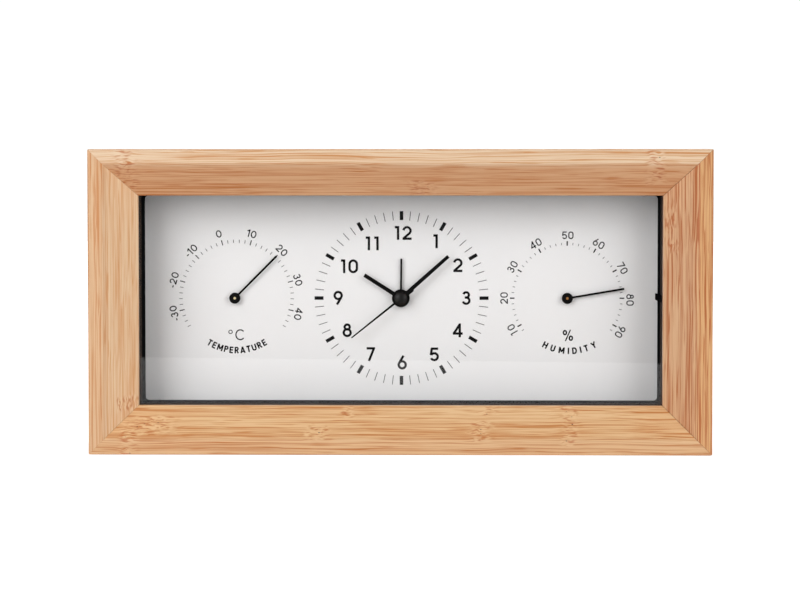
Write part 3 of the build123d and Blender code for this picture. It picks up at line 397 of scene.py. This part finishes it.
def copper_wire(name):
    """Enamelled wire in close turns round x, each as wide as the wire, in mm."""
    material, tree, (x, y, z) = new_finish(name)
    turns = tree.node("ShaderNodeMath", {"operation": "SINE"}, {0: x * (2 * pi / WIRE_WIDTH)})
    blotch = tree.noise(x * 0.8, y * 0.8, z * 0.8, 2.0)
    surface(tree, {"Base Color": tree.mix(linear(176, 92, 46), linear(214, 132, 76), blotch),
                   "Metallic": 1.0, "Roughness": 0.3 + blotch * 0.1, "Normal": tree.bump(turns, 0.03 * MM)})
    return material


def circuit(name):
    """Green board with its glass cloth just visible under the varnish."""
    material, tree, (x, y, z) = new_finish(name)
    weave_x = tree.node("ShaderNodeMath", {"operation": "SINE"}, {0: x * 9.0})
    weave_z = tree.node("ShaderNodeMath", {"operation": "SINE"}, {0: z * 9.0})
    weave = weave_x * weave_z
    cloud = tree.noise(x * 0.2, y * 0.2, z * 0.2, 2.0)
    surface(tree, {"Base Color": tree.mix(linear(22, 84, 48), linear(34, 110, 66), cloud + weave * 0.12),
                   "Roughness": 0.35, "Coat Weight": 0.4, "Normal": tree.bump(weave, 0.008 * MM)})
    return material


# Shares of the cell's length: where its film starts, where the band starts, where the film ends, and over
# how much the film starts and ends
FILM_START, BAND_START, FILM_END, FILM_FADE = 0.016, 0.70, 0.968, 0.002


def battery_wrap(name):
    """Printed film round the cell, with a pale band at its positive end."""
    material, tree, (x, y, z) = new_finish(name)
    low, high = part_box("battery")
    reach = (x - low[0] / MM) / ((high[0] - low[0]) / MM)
    band = tree.rise(reach, BAND_START, BAND_START + 0.005)
    scuff = tree.noise(x * 0.5, y * 3.0, z * 3.0, 3.0)
    body = tree.mix(linear(34, 60, 104), linear(44, 74, 122), scuff)
    colour = tree.mix(body, linear(196, 160, 84), band)
    bare_end = tree.rise(reach, FILM_END, FILM_END + FILM_FADE)
    ends = 1.0 - tree.rise(reach, FILM_START, FILM_START + FILM_FADE) * (1.0 - bare_end)
    surface(tree, {"Base Color": tree.mix(colour, linear(200, 200, 198), ends),
                   "Metallic": tree.rise(band + ends, 0.4, 0.6) * 0.9, "Roughness": 0.32 + scuff * 0.12,
                   "Coat Weight": 0.3})
    return material


hand_paint = {"grain": 8.0, "depth": 0.004 * MM}

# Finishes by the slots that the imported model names
finishes = {
    "glass": glass("clear_glass"),
    "gasket_foam": foam("black_foam"),
    "case_black": plastic("black_moulding", linear(30, 30, 32), linear(40, 40, 42), 0.42),
    "panel_black": fibreboard("black_fibreboard"),
    "dial_white": dial_sheet("white_dial_sheet"),
    "hand_black": plastic("matt_black_hand", linear(8, 7, 7), linear(13, 12, 11), 0.6, gloss=0.06,
                          **hand_paint),
    "switch_white": plastic("white_moulding", linear(226, 226, 220), linear(214, 214, 208), 0.35),
    "gear_ivory": plastic("ivory_moulding", linear(232, 226, 204), linear(220, 213, 188), 0.35),
    "magnet_grey": metal("sintered_magnet", linear(96, 96, 98), linear(120, 118, 116), 0.55),
    "steel": metal("plain_steel", linear(186, 187, 190), linear(160, 160, 162), 0.3),
    "brass": metal("bright_brass", linear(244, 212, 146), linear(226, 186, 112), 0.5),
    "copper": copper_wire("enamelled_copper"),
    "board_green": circuit("varnished_board"),
    "battery_wrap": battery_wrap("cell_film"),
}

rail_finishes = {
    "top_rail": bamboo(
        "bamboo_top", inward=(0, -1), seed=1.0, tones=(linear(233, 206, 180), linear(204, 142, 88)),
        rim_tint=(0.93, 0.91, 0.83, 1.0), bevel_tint_and_shade=(0.86, 0.65, 0.47, 1.0),
        contrast=1.15, rim_contrast=-0.1,
        knots=[(-112.5, 4.0, 0.0, 19.0), (9.0, 5.0, 13.0, 19.0), (104.0, 3.5, 0.0, 14.5)]),
    "bottom_rail": bamboo(
        "bamboo_bottom", inward=(0, 1), seed=2.0, tones=(linear(230, 196, 160), linear(196, 128, 74)),
        rim_tint=(0.89, 0.81, 0.68, 1.0), bevel_tint_and_shade=(0.99, 0.95, 0.80, 1.0),
        contrast=1.15, rim_contrast=0.0,
        knots=[(-111.0, 3.5, 0.0, 12.0), (-101.0, 8.0, 8.0, 15.0), (-21.6, 2.5, 14.5, 18.5),
               (-34.0, 5.0, 6.0, 12.0), (37.0, 3.5, 15.5, 19.0), (33.0, 4.0, 6.0, 13.0),
               (69.0, 3.0, 4.0, 19.0)]),
    "left_rail": bamboo(
        "bamboo_left", inward=(1, 0), seed=5.0, tones=(linear(228, 196, 168), linear(206, 142, 90)),
        rim_tint=(0.89, 0.81, 0.66, 1.0), bevel_tint_and_shade=(1.12, 1.12, 0.98, 1.0),
        contrast=0.95, rim_contrast=0.4,
        knots=[(20.0, 3.0, 11.0, 19.0)]),
    "right_rail": bamboo(
        "bamboo_right", inward=(-1, 0), seed=7.0, tones=(linear(226, 190, 154), linear(186, 112, 62)),
        rim_tint=(0.88, 0.74, 0.52, 1.0), bevel_tint_and_shade=(0.88, 0.79, 0.69, 1.0),
        contrast=1.5, rim_contrast=0.3,
        knots=[(95.0, 6.0, 14.5, 19.0), (86.0, 2.5, 13.5, 17.0)]),
}

# Nodes whose finish isn't the one of their slot
grey_knob = plastic("grey_knob", linear(70, 70, 73), linear(84, 84, 87), 0.4)
own_finishes = {
    **rail_finishes,
    "corner_splines": rail_finishes["top_rail"],
    "time_set_knob": grey_knob,
    "alarm_set_knob": grey_knob,
    # The thermometer's arbor has a paler brass and the hygrometer's a darker one
    "thermometer_arbor": metal("pale_brass", linear(255, 240, 196), linear(252, 228, 168), 0.4),
    "hygrometer_arbor": metal("dark_brass", linear(196, 140, 84), linear(168, 112, 66), 0.5),
    "front_spacers": lining("black_lining"),
    "rear_spacers": lining("black_rear_lining"),
    "second_hand_cap": plastic("satin_black_cap", linear(14, 13, 13), linear(20, 19, 18), 0.38, gloss=0.3,
                               **hand_paint),
}

for name, piece in nodes.items():
    for slot in piece.material_slots:
        finish = slot.material.name.split(".")[0]
        slot.material = own_finishes.get(name) or finishes[finish]


def printing_ink(name, colour, shade, gloss=0.2):
    return plastic(name, colour, shade, 0.6, grain=8.0, depth=0.002 * MM, gloss=gloss)


ink = printing_ink("black_ink", linear(17, 16, 17), linear(22, 21, 22), gloss=0.1)
grey_ink = printing_ink("grey_ink", linear(108, 108, 110), linear(118, 118, 120))
minute_ink = printing_ink("minute_ink", linear(84, 83, 84), linear(92, 91, 92))
dark_grey_ink = printing_ink("dark_grey_ink", linear(70, 69, 70), linear(76, 75, 76))


# Printed scales: ticks and characters on the dial sheet

# The print is thin and sinks a little into the sheet
PRINT_THICKNESS = 0.05 * MM
print_y = dial_y - 0.015 * MM


def new_group(name, sizes):
    """A Geometry Nodes group with named inputs and one geometry output, its tree and its inputs' sockets."""
    group = bpy.data.node_groups.new(name, "GeometryNodeTree")
    group.interface.new_socket("Geometry", in_out="INPUT", socket_type="NodeSocketGeometry")
    for size, kind in sizes:
        group.interface.new_socket(size, in_out="INPUT", socket_type=kind)
    group.interface.new_socket("Geometry", in_out="OUTPUT", socket_type="NodeSocketGeometry")
    tree = Tree(group)
    source = group.nodes.new("NodeGroupInput")
    values = {socket.name: Term(tree, socket) for socket in source.outputs if socket.name}
    return group, tree, values


def bake(name, source, group, sizes, material, body):
    """Run a group on a source object and keep the result as one plain mesh that rides on a body."""
    holder = bpy.data.objects.new(name + "_source", source)
    bpy.context.scene.collection.objects.link(holder)
    modifier = holder.modifiers.new("make", "NODES")
    modifier.node_group = group
    identifiers = {item.name: item.identifier for item in group.interface.items_tree
                   if item.in_out == "INPUT"}
    for size, value in {**sizes, "Material": material}.items():
        modifier[identifiers[size]] = value
    bpy.context.view_layer.update()
    graph = bpy.context.evaluated_depsgraph_get()
    mesh = bpy.data.meshes.new_from_object(holder.evaluated_get(graph))
    bpy.data.objects.remove(holder)
    piece = bpy.data.objects.new(name, mesh)
    bpy.context.scene.collection.objects.link(piece)
    mesh.materials.clear()
    mesh.materials.append(material)
    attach(piece, body)


NUMBER = "NodeSocketFloat"


def tick_ring_group():
    """Bars on a circle round the y axis, at equal steps clockwise as seen from the front.

    One step is left out after every so many bars.
    """
    group, tree, value = new_group("tick_ring", [
        ("Count", "NodeSocketInt"), ("First Angle", NUMBER), ("Step", NUMBER), ("Gap Every", NUMBER),
        ("Middle Radius", NUMBER), ("Length", NUMBER), ("Width", NUMBER), ("Thickness", NUMBER),
        ("Centre", "NodeSocketVector"), ("Material", "NodeSocketMaterial")])
    row = tree.node("GeometryNodeMeshLine", {"mode": "OFFSET"}, {"Count": value["Count"]})
    index = tree.node("GeometryNodeInputIndex")
    skipped = tree.node("ShaderNodeMath", {"operation": "FLOOR"}, {0: index / value["Gap Every"]})
    angle = (index + skipped) * value["Step"] + value["First Angle"]
    sine = tree.node("ShaderNodeMath", {"operation": "SINE"}, {0: angle})
    cosine = tree.node("ShaderNodeMath", {"operation": "COSINE"}, {0: angle})
    place = tree.point(sine * value["Middle Radius"], 0.0, cosine * value["Middle Radius"])
    spread = tree.node("GeometryNodeSetPosition", None, {"Geometry": row, "Position": place,
                                                         "Offset": value["Centre"]})
    bar = tree.node("GeometryNodeMeshCube", None, {
        "Size": tree.point(value["Width"], value["Thickness"], value["Length"])})
    bars = tree.node("GeometryNodeInstanceOnPoints", None, {
        "Points": spread, "Instance": bar, "Rotation": tree.point(0.0, angle, 0.0)})
    solid = tree.node("GeometryNodeRealizeInstances", None, {"Geometry": bars})
    dressed = tree.node("GeometryNodeSetMaterial", None, {"Geometry": solid, "Material": value["Material"]})
    tree.node("NodeGroupOutput", None, {"Geometry": dressed})
    return group


def stroke_group():
    """Flat bands along the strokes of characters, drawn in x and y and then stood up to face the front."""
    group, tree, value = new_group("printed_strokes", [
        ("Width", NUMBER), ("Thickness", NUMBER), ("Depth", NUMBER), ("Material", "NodeSocketMaterial")])
    level = tree.node("GeometryNodeSetCurveNormal", {"mode": "Z_UP"}, {"Curve": value["Geometry"]})
    section = tree.node("GeometryNodeCurvePrimitiveQuadrilateral", {"mode": "RECTANGLE"},
                        {"Width": value["Width"], "Height": value["Thickness"]})
    bands = tree.node("GeometryNodeCurveToMesh", None,
                      {"Curve": level, "Profile Curve": section, "Fill Caps": True})
    upright = tree.node("GeometryNodeTransform", None, {
        "Geometry": bands, "Translation": tree.point(0.0, value["Depth"], 0.0),
        "Rotation": (pi / 2, 0.0, 0.0)})
    solid = tree.node("GeometryNodeRealizeInstances", None, {"Geometry": upright})
    dressed = tree.node("GeometryNodeSetMaterial", None, {"Geometry": solid, "Material": value["Material"]})
    tree.node("NodeGroupOutput", None, {"Geometry": dressed})
    return group


ticks = tick_ring_group()
strokes = stroke_group()


def tick_ring(name, centre, count, first, step, radii, width, material, gap_every=60):
    """A ring of ticks on the dial about a centre, in x and z.

    Angles are in degrees clockwise from the top, and lengths in mm. The radii are the ticks' inner
    and outer ends. One step is left out after every gap_every ticks.
    """
    inner, outer = radii
    bake(name, bpy.data.meshes.new(name), ticks, {
        "Count": count, "First Angle": radians(first), "Step": radians(step), "Gap Every": gap_every,
        "Middle Radius": (inner + outer) / 2 * MM, "Length": (outer - inner) * MM, "Width": width * MM,
        "Thickness": PRINT_THICKNESS, "Centre": (centre[0] * MM, print_y, centre[1] * MM)}, material, "root")


ARC_STEP = 12


def arc(centre_x, centre_y, radius_x, radius_y, start, end):
    """Points of an arc from start to end, in degrees anticlockwise from the right."""
    count = max(4, round(abs(end - start) / ARC_STEP))
    turns = [radians(start + (end - start) * step / count) for step in range(count + 1)]
    return [(centre_x + radius_x * cos(turn), centre_y + radius_y * sin(turn)) for turn in turns]


# Characters in a box 1 high: how wide each is, and the centre lines of its strokes. EDGE is half of a
# stroke's width.
EDGE = 0.085
TOP = 1 - EDGE
SIX = [arc(0.34, 0.34, 0.255, 0.255, 0, 360), [(0.119, 0.467), (0.43, 1.0)]]
GLYPHS = {
    "0": (0.70, [arc(0.35, 0.65, 0.265, 0.265, 0, 180) + arc(0.35, 0.35, 0.265, 0.265, 180, 360)
                 + [(0.615, 0.65)]]),
    "1": (0.32, [[(0.235, 0.0), (0.235, 1.0)], [(0.0, TOP), (0.30, TOP)]]),
    "2": (0.68, [arc(0.34, 0.66, 0.255, 0.255, 172, -42) + [(0.09, 0.10)], [(0.02, EDGE), (0.67, EDGE)]]),
    "3": (0.62, [arc(0.30, 0.725, 0.195, 0.19, 165, -90), arc(0.30, 0.31, 0.235, 0.225, 90, -165),
                 [(0.20, 0.535), (0.30, 0.535)]]),
    "4": (0.71, [[(0.50, 0.0), (0.50, 1.0)], [(0.0, 0.27), (0.71, 0.27)], [(0.515, 0.96), (0.055, 0.25)]]),
    "5": (0.70, [[(0.12, TOP), (0.64, TOP)], [(0.185, TOP), (0.115, 0.44)],
                 arc(0.365, 0.335, 0.25, 0.25, 150, -155)]),
    "6": (0.68, SIX),
    "7": (0.61, [[(0.0, TOP), (0.61, TOP)], [(0.55, 0.96), (0.17, 0.0)]]),
    "8": (0.67, [arc(0.335, 0.735, 0.185, 0.18, 0, 360), arc(0.335, 0.33, 0.25, 0.245, 0, 360)]),
    "9": (0.68, [[(0.68 - u, 1 - v) for u, v in stroke] for stroke in SIX]),
    "A": (0.74, [[(0.07, 0.0), (0.37, 1.0)], [(0.37, 1.0), (0.67, 0.0)], [(0.16, 0.27), (0.58, 0.27)]]),
    "C": (0.80, [arc(0.43, 0.5, 0.375, TOP - 0.5, 42, 318)]),
    "D": (0.70, [[(EDGE, 0.0), (EDGE, 1.0)], [(EDGE, TOP), (0.30, TOP)], [(EDGE, EDGE), (0.30, EDGE)],
                 arc(0.30, 0.5, 0.315, TOP - 0.5, 90, -90)]),
    "E": (0.56, [[(EDGE, 0.0), (EDGE, 1.0)], [(EDGE, TOP), (0.56, TOP)], [(EDGE, 0.5), (0.52, 0.5)],
                 [(EDGE, EDGE), (0.56, EDGE)]]),
    "H": (0.70, [[(EDGE, 0.0), (EDGE, 1.0)], [(0.615, 0.0), (0.615, 1.0)], [(EDGE, 0.5), (0.615, 0.5)]]),
    "I": (0.17, [[(EDGE, 0.0), (EDGE, 1.0)]]),
    "M": (0.86, [[(EDGE, 0.0), (EDGE, 1.0)], [(0.775, 0.0), (0.775, 1.0)], [(EDGE, 0.98), (0.43, 0.24)],
                 [(0.43, 0.24), (0.775, 0.98)]]),
    "P": (0.60, [[(EDGE, 0.0), (EDGE, 1.0)],
                 [(EDGE, TOP), (0.32, TOP)] + arc(0.32, TOP - 0.205, 0.195, 0.205, 90, -90)
                 + [(EDGE, TOP - 0.41)]]),
    "R": (0.64, [[(EDGE, 0.0), (EDGE, 1.0)],
                 [(EDGE, TOP), (0.32, TOP)] + arc(0.32, TOP - 0.205, 0.195, 0.205, 90, -90)
                 + [(EDGE, TOP - 0.41)], [(0.30, 0.50), (0.56, 0.0)]]),
    "T": (0.62, [[(0.31, 0.0), (0.31, 1.0)], [(0.0, TOP), (0.62, TOP)]]),
    "U": (0.68, [[(EDGE, 1.0)] + arc(0.34, 0.33, 0.255, 0.245, 180, 360) + [(0.595, 1.0)]]),
    "Y": (0.72, [[(0.06, 1.0), (0.36, 0.46)], [(0.66, 1.0), (0.36, 0.46)], [(0.36, 0.50), (0.36, 0.0)]]),
    "%": (0.92, [arc(0.20, 0.745, 0.13, 0.175, 0, 360), arc(0.72, 0.255, 0.13, 0.175, 0, 360)]),
    "/": (0.46, [[(0.45, 1.0), (0.01, 0.0)]]),
    "o": (0.34, [arc(0.17, 0.17, 0.17, 0.17, 0, 360)]),
}

# The thermometer's figures: its 0 is an oval, its 1 has a slanting flag, and its 3 no bar in the middle
THERMOMETER_GLYPHS = {
    **GLYPHS,
    "0": (0.76, [arc(0.38, 0.5, 0.295, TOP - 0.5, 0, 360)]),
    "1": (0.40, [[(0.315, 0.0), (0.315, 1.0)], [(0.03, 0.74), (0.315, 0.96)]]),
    "3": (0.66, [arc(0.32, 0.725, 0.20, 0.19, 165, -80), arc(0.32, 0.31, 0.245, 0.225, 85, -170)]),
    "4": (0.68, [[(0.49, 0.0), (0.49, 1.0)], [(0.0, 0.27), (0.68, 0.27)], [(0.50, 0.96), (0.05, 0.25)]]),
    "-": (0.30, [[(0.0, 0.36), (0.30, 0.36)]]),
}


def word(text, x, z, height, turn=0.0, gap=0.0, glyphs=GLYPHS):
    """Strokes of a word about its middle, in mm.

    The turn is in degrees clockwise. The gap between characters is a share of their height.
    """
    width = sum(glyphs[letter][0] for letter in text) + gap * (len(text) - 1)
    start, lines = -width / 2, []
    cosine, sine = cos(radians(turn)), sin(radians(turn))
    for letter in text:
        advance, glyph = glyphs[letter]
        for stroke in glyph:
            flat = [((start + u) * height, (v - 0.5) * height) for u, v in stroke]
            lines.append([(x + u * cosine + v * sine, z - u * sine + v * cosine) for u, v in flat])
        start += advance + gap
    return lines


def arc_word(text, x, z, height, radius, gap, span):
    """Strokes of a word along the bottom of a circle about x and z, its tops towards the centre.

    All lengths are in mm, the gap's too. The word reaches span degrees to either side of the bottom.
    """
    widths = [GLYPHS[letter][0] * height for letter in text]
    total = sum(widths) + gap * (len(text) - 1)
    lines, start = [], -total / 2
    for letter, width in zip(text, widths):
        turn = (start + width / 2) / total * 2 * span
        place = radians(180 - turn)
        lines += word(letter, x + radius * sin(place), z + radius * cos(place), height, -turn)
        start += width + gap
    return lines


def print_strokes(name, lines, width, material):
    """Print strokes, in mm in x and z, on the dial sheet. One that ends where it starts is closed."""
    curve = bpy.data.curves.new(name, "CURVE")
    curve.dimensions = "3D"
    for line in lines:
        closed = len(line) > 3 and (Vector(line[0]) - Vector(line[-1])).length < 0.001
        points = line[:-1] if closed else line
        spline = curve.splines.new("POLY")
        spline.points.add(len(points) - 1)
        spline.points.foreach_set("co", [n for u, v in points for n in (u * MM, v * MM, 0.0, 1.0)])
        spline.use_cyclic_u = closed
    bake(name, curve, strokes, {"Width": width * MM, "Thickness": PRINT_THICKNESS, "Depth": print_y},
         material, "root")


# The middles of the instruments and of the dial, in mm
left_mm, right_mm, middle_mm = -instrument_x / MM, instrument_x / MM, centre_z / MM


def print_marks(marks, x):
    """Print marks, each with its text, its place from x and the dial's middle, its height and its stroke."""
    for name, (text, mark_x, mark_z, height, stroke) in marks.items():
        print_strokes(name, word(text, x + mark_x, middle_mm + mark_z, height), stroke, ink)


# Clock dial, in mm. The places of its numbers, from 12 on, are from the middle of the dial.
CLOCK_TICKS, CLOCK_SHIFT = (33.0, 36.8), 0.25
HOUR_TICK_WIDTH, MINUTE_TICK_WIDTH = 1.48, 0.3
HOUR_HEIGHT, HOUR_STROKE, HOUR_GAP, ELEVEN_GAP = 5.85, 1.0, 0.22, 0.30
HOUR_PLACES = [(1.0, 27.55), (14.65, 24.05), (24.05, 13.95), (27.65, 0.05), (24.05, -13.65), (14.05, -23.85),
               (0.55, -27.35), (-12.75, -23.75), (-22.75, -13.65), (-26.55, 0.15), (-21.75, 13.45),
               (-12.15, 23.15)]

clock_centre = (CLOCK_SHIFT, middle_mm)
tick_ring("hour_ticks", clock_centre, 12, 0.0, 30.0, CLOCK_TICKS, HOUR_TICK_WIDTH, ink)
tick_ring("minute_ticks", clock_centre, 48, 6.0, 6.0, CLOCK_TICKS, MINUTE_TICK_WIDTH, minute_ink, gap_every=4)
clock_numbers = []
for hour, (number_x, number_z) in enumerate(HOUR_PLACES):
    clock_numbers += word(str(hour or 12), number_x, middle_mm + number_z, HOUR_HEIGHT,
                          gap=ELEVEN_GAP if hour == 11 else HOUR_GAP)
print_strokes("hour_numbers", clock_numbers, HOUR_STROKE, ink)

# Thermometer dial, in mm and in degrees of turn to the degree of warmth. Its scale is printed a little to
# the right of its arbor and higher. The places of its numbers, from -30 on, are from the arbor.
DEGREE_STEP = 2.96
ZERO_ANGLE = -5 * DEGREE_STEP
SCALE_SHIFT, SCALE_LIFT = 0.6, 0.4
LONG_DEGREE_TICKS, LONG_DEGREE_WIDTH = (22.65, 24.85), 0.42
SHORT_DEGREE_TICKS, SHORT_DEGREE_WIDTH = (22.9, 24.3), 0.26
DEGREE_HEIGHT, DEGREE_STROKE, DEGREE_GAP = 3.2, 0.48, 0.15
DEGREE_PLACES = [(-25.86, -6.48), (-26.0, 7.71), (-18.59, 20.06), (-6.88, 27.12), (7.06, 27.12),
                 (19.84, 20.16), (26.6, 7.68), (26.79, -6.81)]
THERMOMETER_MARKS = {
    "degree_ring": ("o", -2.0, -12.98, 4.3, 0.36),
    "celsius_letter": ("C", 2.0, -15.6, 5.0, 0.52),
}
TITLE_HEIGHT = 2.7
TEMPERATURE_SHIFT, TEMPERATURE_STROKE = 0.7, 0.60

thermometer_centre = (left_mm + SCALE_SHIFT, middle_mm + SCALE_LIFT)
tick_ring("thermometer_long_ticks", thermometer_centre, 8, ZERO_ANGLE - 30 * DEGREE_STEP, 10 * DEGREE_STEP,
          LONG_DEGREE_TICKS, LONG_DEGREE_WIDTH, ink)
tick_ring("thermometer_short_ticks", thermometer_centre, 42, ZERO_ANGLE - 36 * DEGREE_STEP, 2 * DEGREE_STEP,
          SHORT_DEGREE_TICKS, SHORT_DEGREE_WIDTH, dark_grey_ink)
thermometer_numbers = []
for value, (number_x, number_z) in zip(range(-30, 50, 10), DEGREE_PLACES):
    thermometer_numbers += word(str(value), left_mm + number_x, middle_mm + number_z, DEGREE_HEIGHT,
                                ZERO_ANGLE + value * DEGREE_STEP, DEGREE_GAP, THERMOMETER_GLYPHS)
print_strokes("thermometer_numbers", thermometer_numbers, DEGREE_STROKE, ink)
print_marks(THERMOMETER_MARKS, left_mm)
temperature_title = arc_word("TEMPERATURE", left_mm + TEMPERATURE_SHIFT, middle_mm, TITLE_HEIGHT,
                             radius=22.15, gap=0.55, span=33.5)
print_strokes("temperature_word", temperature_title, TEMPERATURE_STROKE, ink)

# Hygrometer dial, in mm and in degrees of turn to the percent. A few numbers stand some degrees further on
# than their ticks.
PERCENT_STEP = 3.0
LONG_PERCENT_TICKS, LONG_PERCENT_WIDTH = (22.2, 24.1), 0.55
SHORT_PERCENT_TICKS, SHORT_PERCENT_WIDTH = (22.5, 23.5), 0.28
PERCENT_HEIGHT, PERCENT_STROKE, PERCENT_RADIUS, PERCENT_GAP, TEN_GAP = 3.3, 0.46, 26.6, 0.13, 0.34
PERCENT_LEADS = {50: 0.4, 70: 1.5, 80: 1.5, 90: 2.3}
HYGROMETER_MARKS = {
    "percent_rings": ("%", 0.4, -15.75, 4.8, 0.64),
    "percent_stroke": ("/", 0.4, -15.75, 4.8, 0.50),
}
HUMIDITY_SHIFT, HUMIDITY_STROKE = 1.1, 0.62

hygrometer_centre = (right_mm, middle_mm)
tick_ring("hygrometer_long_ticks", hygrometer_centre, 9, -40 * PERCENT_STEP, 10 * PERCENT_STEP,
          LONG_PERCENT_TICKS, LONG_PERCENT_WIDTH, ink)
tick_ring("hygrometer_short_ticks", hygrometer_centre, 43, -42 * PERCENT_STEP, 2 * PERCENT_STEP,
          SHORT_PERCENT_TICKS, SHORT_PERCENT_WIDTH, grey_ink)
hygrometer_numbers = []
for value in range(10, 100, 10):
    slant = (value - 50) * PERCENT_STEP
    place = radians(slant + PERCENT_LEADS.get(value, 0.0))
    hygrometer_numbers += word(str(value), right_mm + PERCENT_RADIUS * sin(place),
                               middle_mm + PERCENT_RADIUS * cos(place), PERCENT_HEIGHT, slant,
                               TEN_GAP if value == 10 else PERCENT_GAP)
print_strokes("hygrometer_numbers", hygrometer_numbers, PERCENT_STROKE, ink)
print_marks(HYGROMETER_MARKS, right_mm)
humidity_title = arc_word("HUMIDITY", right_mm + HUMIDITY_SHIFT, middle_mm, TITLE_HEIGHT,
                          radius=22.3, gap=0.8, span=30.5)
print_strokes("humidity_word", humidity_title, HUMIDITY_STROKE, ink)


# Stage: a white table whose front edge is a little way in front of the clock

# The front edge runs a little askew to the clock: the glass mirrors it
TABLE_NEAR, TABLE_SLANT = -0.449, 0.118
TABLE_REACH = 3.0

# How bright the camera sees the table by itself: at the clock, how much more further off, and between
# which distances it grows
TABLE_GLOW, TABLE_GLOW_GAIN, GLOW_START, GLOW_END = 0.55, 0.5, 0.15, 0.7


def table():
    """A white table top, which shows the part's shadow and brightens away from the part."""
    skew = TABLE_SLANT * TABLE_REACH
    mesh = bpy.data.meshes.new("table_top")
    mesh.from_pydata([(-TABLE_REACH, TABLE_NEAR - skew, 0.0), (TABLE_REACH, TABLE_NEAR + skew, 0.0),
                      (TABLE_REACH, TABLE_REACH, 0.0), (-TABLE_REACH, TABLE_REACH, 0.0)], [], [(0, 1, 2, 3)])
    piece = bpy.data.objects.new("table_top", mesh)
    bpy.context.scene.collection.objects.link(piece)
    material = bpy.data.materials.new("white_table")
    material.use_nodes = True
    tree = Tree(material.node_tree)
    seen = tree.node("ShaderNodeLightPath", None, None, "Is Camera Ray")
    matt = tree.node("ShaderNodeBsdfDiffuse", None, {"Color": (0.9, 0.9, 0.9, 1.0)})
    place = tree.node("ShaderNodeTexCoord", None, None, "Object")
    distance = tree.node("ShaderNodeVectorMath", {"operation": "LENGTH"}, {0: place}, "Value")
    strength = seen * (TABLE_GLOW + tree.rise(distance, GLOW_START, GLOW_END) * TABLE_GLOW_GAIN)
    glow = tree.node("ShaderNodeEmission", None, {"Color": WHITE, "Strength": strength})
    both = tree.node("ShaderNodeAddShader", None, {0: matt, 1: glow})
    tree.node("ShaderNodeOutputMaterial", None, {"Surface": both})
    mesh.materials.append(material)


# Brightness of the backdrop, of the dark front as the glass mirrors it, and of the light from all round
BACKDROP, FRONT_GLEAM, ROOM_LIGHT = 1.05, 0.03, 0.25


def room():
    """White behind the part, dark where the glass looks out to the front, and an even soft light."""
    world = bpy.data.worlds.new("studio")
    bpy.context.scene.world = world
    world.use_nodes = True
    tree = Tree(world.node_tree)
    camera_ray = tree.node("ShaderNodeLightPath", None, None, "Is Camera Ray")
    mirror_ray = tree.node("ShaderNodeLightPath", None, None, "Is Glossy Ray")
    through_ray = tree.node("ShaderNodeLightPath", None, None, "Is Transmission Ray")
    direction = tree.node("ShaderNodeTexCoord", None, None, "Generated")
    depth = tree.node("ShaderNodeSeparateXYZ", None, {"Vector": direction}, "Y")
    behind = tree.rise(depth, -0.2, 0.3)
    mirrored = FRONT_GLEAM + behind * (1.0 - FRONT_GLEAM)
    seen = camera_ray * BACKDROP + through_ray + mirror_ray * mirrored
    plain = (1.0 - camera_ray) * (1.0 - through_ray) * (1.0 - mirror_ray) * ROOM_LIGHT
    shader = tree.node("ShaderNodeBackground", None, {"Color": WHITE, "Strength": seen + plain})
    tree.node("ShaderNodeOutputWorld", None, {"Surface": shader})


# Soft lamps, all aimed at the middle of the clock: their places, their sizes and their power in watts
LAMPS = {
    "key_lamp": ((-0.72, -0.85, 0.52), (0.8, 0.95), 9.5),
    "fill_lamp": ((0.80, -0.85, 0.46), (0.8, 0.85), 6.0),
    "back_lamp": ((0.3, 1.0, 0.9), (1.0, 0.8), 11.0),
}


def lamp(name, place, size, power):
    light = bpy.data.lights.new(name, "AREA")
    light.shape = "RECTANGLE"
    light.size, light.size_y = size
    light.energy = power
    holder = bpy.data.objects.new(name, light)
    bpy.context.scene.collection.objects.link(holder)
    direction = Vector((0.0, 0.0, centre_z)) - Vector(place)
    holder.matrix_world = Matrix.Translation(place) @ direction.to_track_quat("-Z", "Y").to_matrix().to_4x4()


# The camera's place, its tilt and its turn in degrees, its lens and its sensor in mm, and its shift
CAMERA_PLACE = (0.0124, -0.877, 0.1119)
CAMERA_TILT, CAMERA_TURN = 88.0, 0.83
CAMERA_LENS, CAMERA_SENSOR, CAMERA_SHIFT = 93.99, 36.0, -0.0598


def set_camera():
    camera = bpy.data.objects.new("camera", bpy.data.cameras.new("camera"))
    bpy.context.scene.collection.objects.link(camera)
    camera.data.sensor_width = CAMERA_SENSOR
    camera.data.lens = CAMERA_LENS
    camera.data.shift_y = CAMERA_SHIFT
    camera.location = CAMERA_PLACE
    camera.rotation_euler = (radians(CAMERA_TILT), 0.0, radians(CAMERA_TURN))
    bpy.context.scene.camera = camera


table()
room()
for name, (place, size, power) in LAMPS.items():
    lamp(name, place, size, power)
set_camera()
bpy.context.scene.view_settings.view_transform = "Standard"
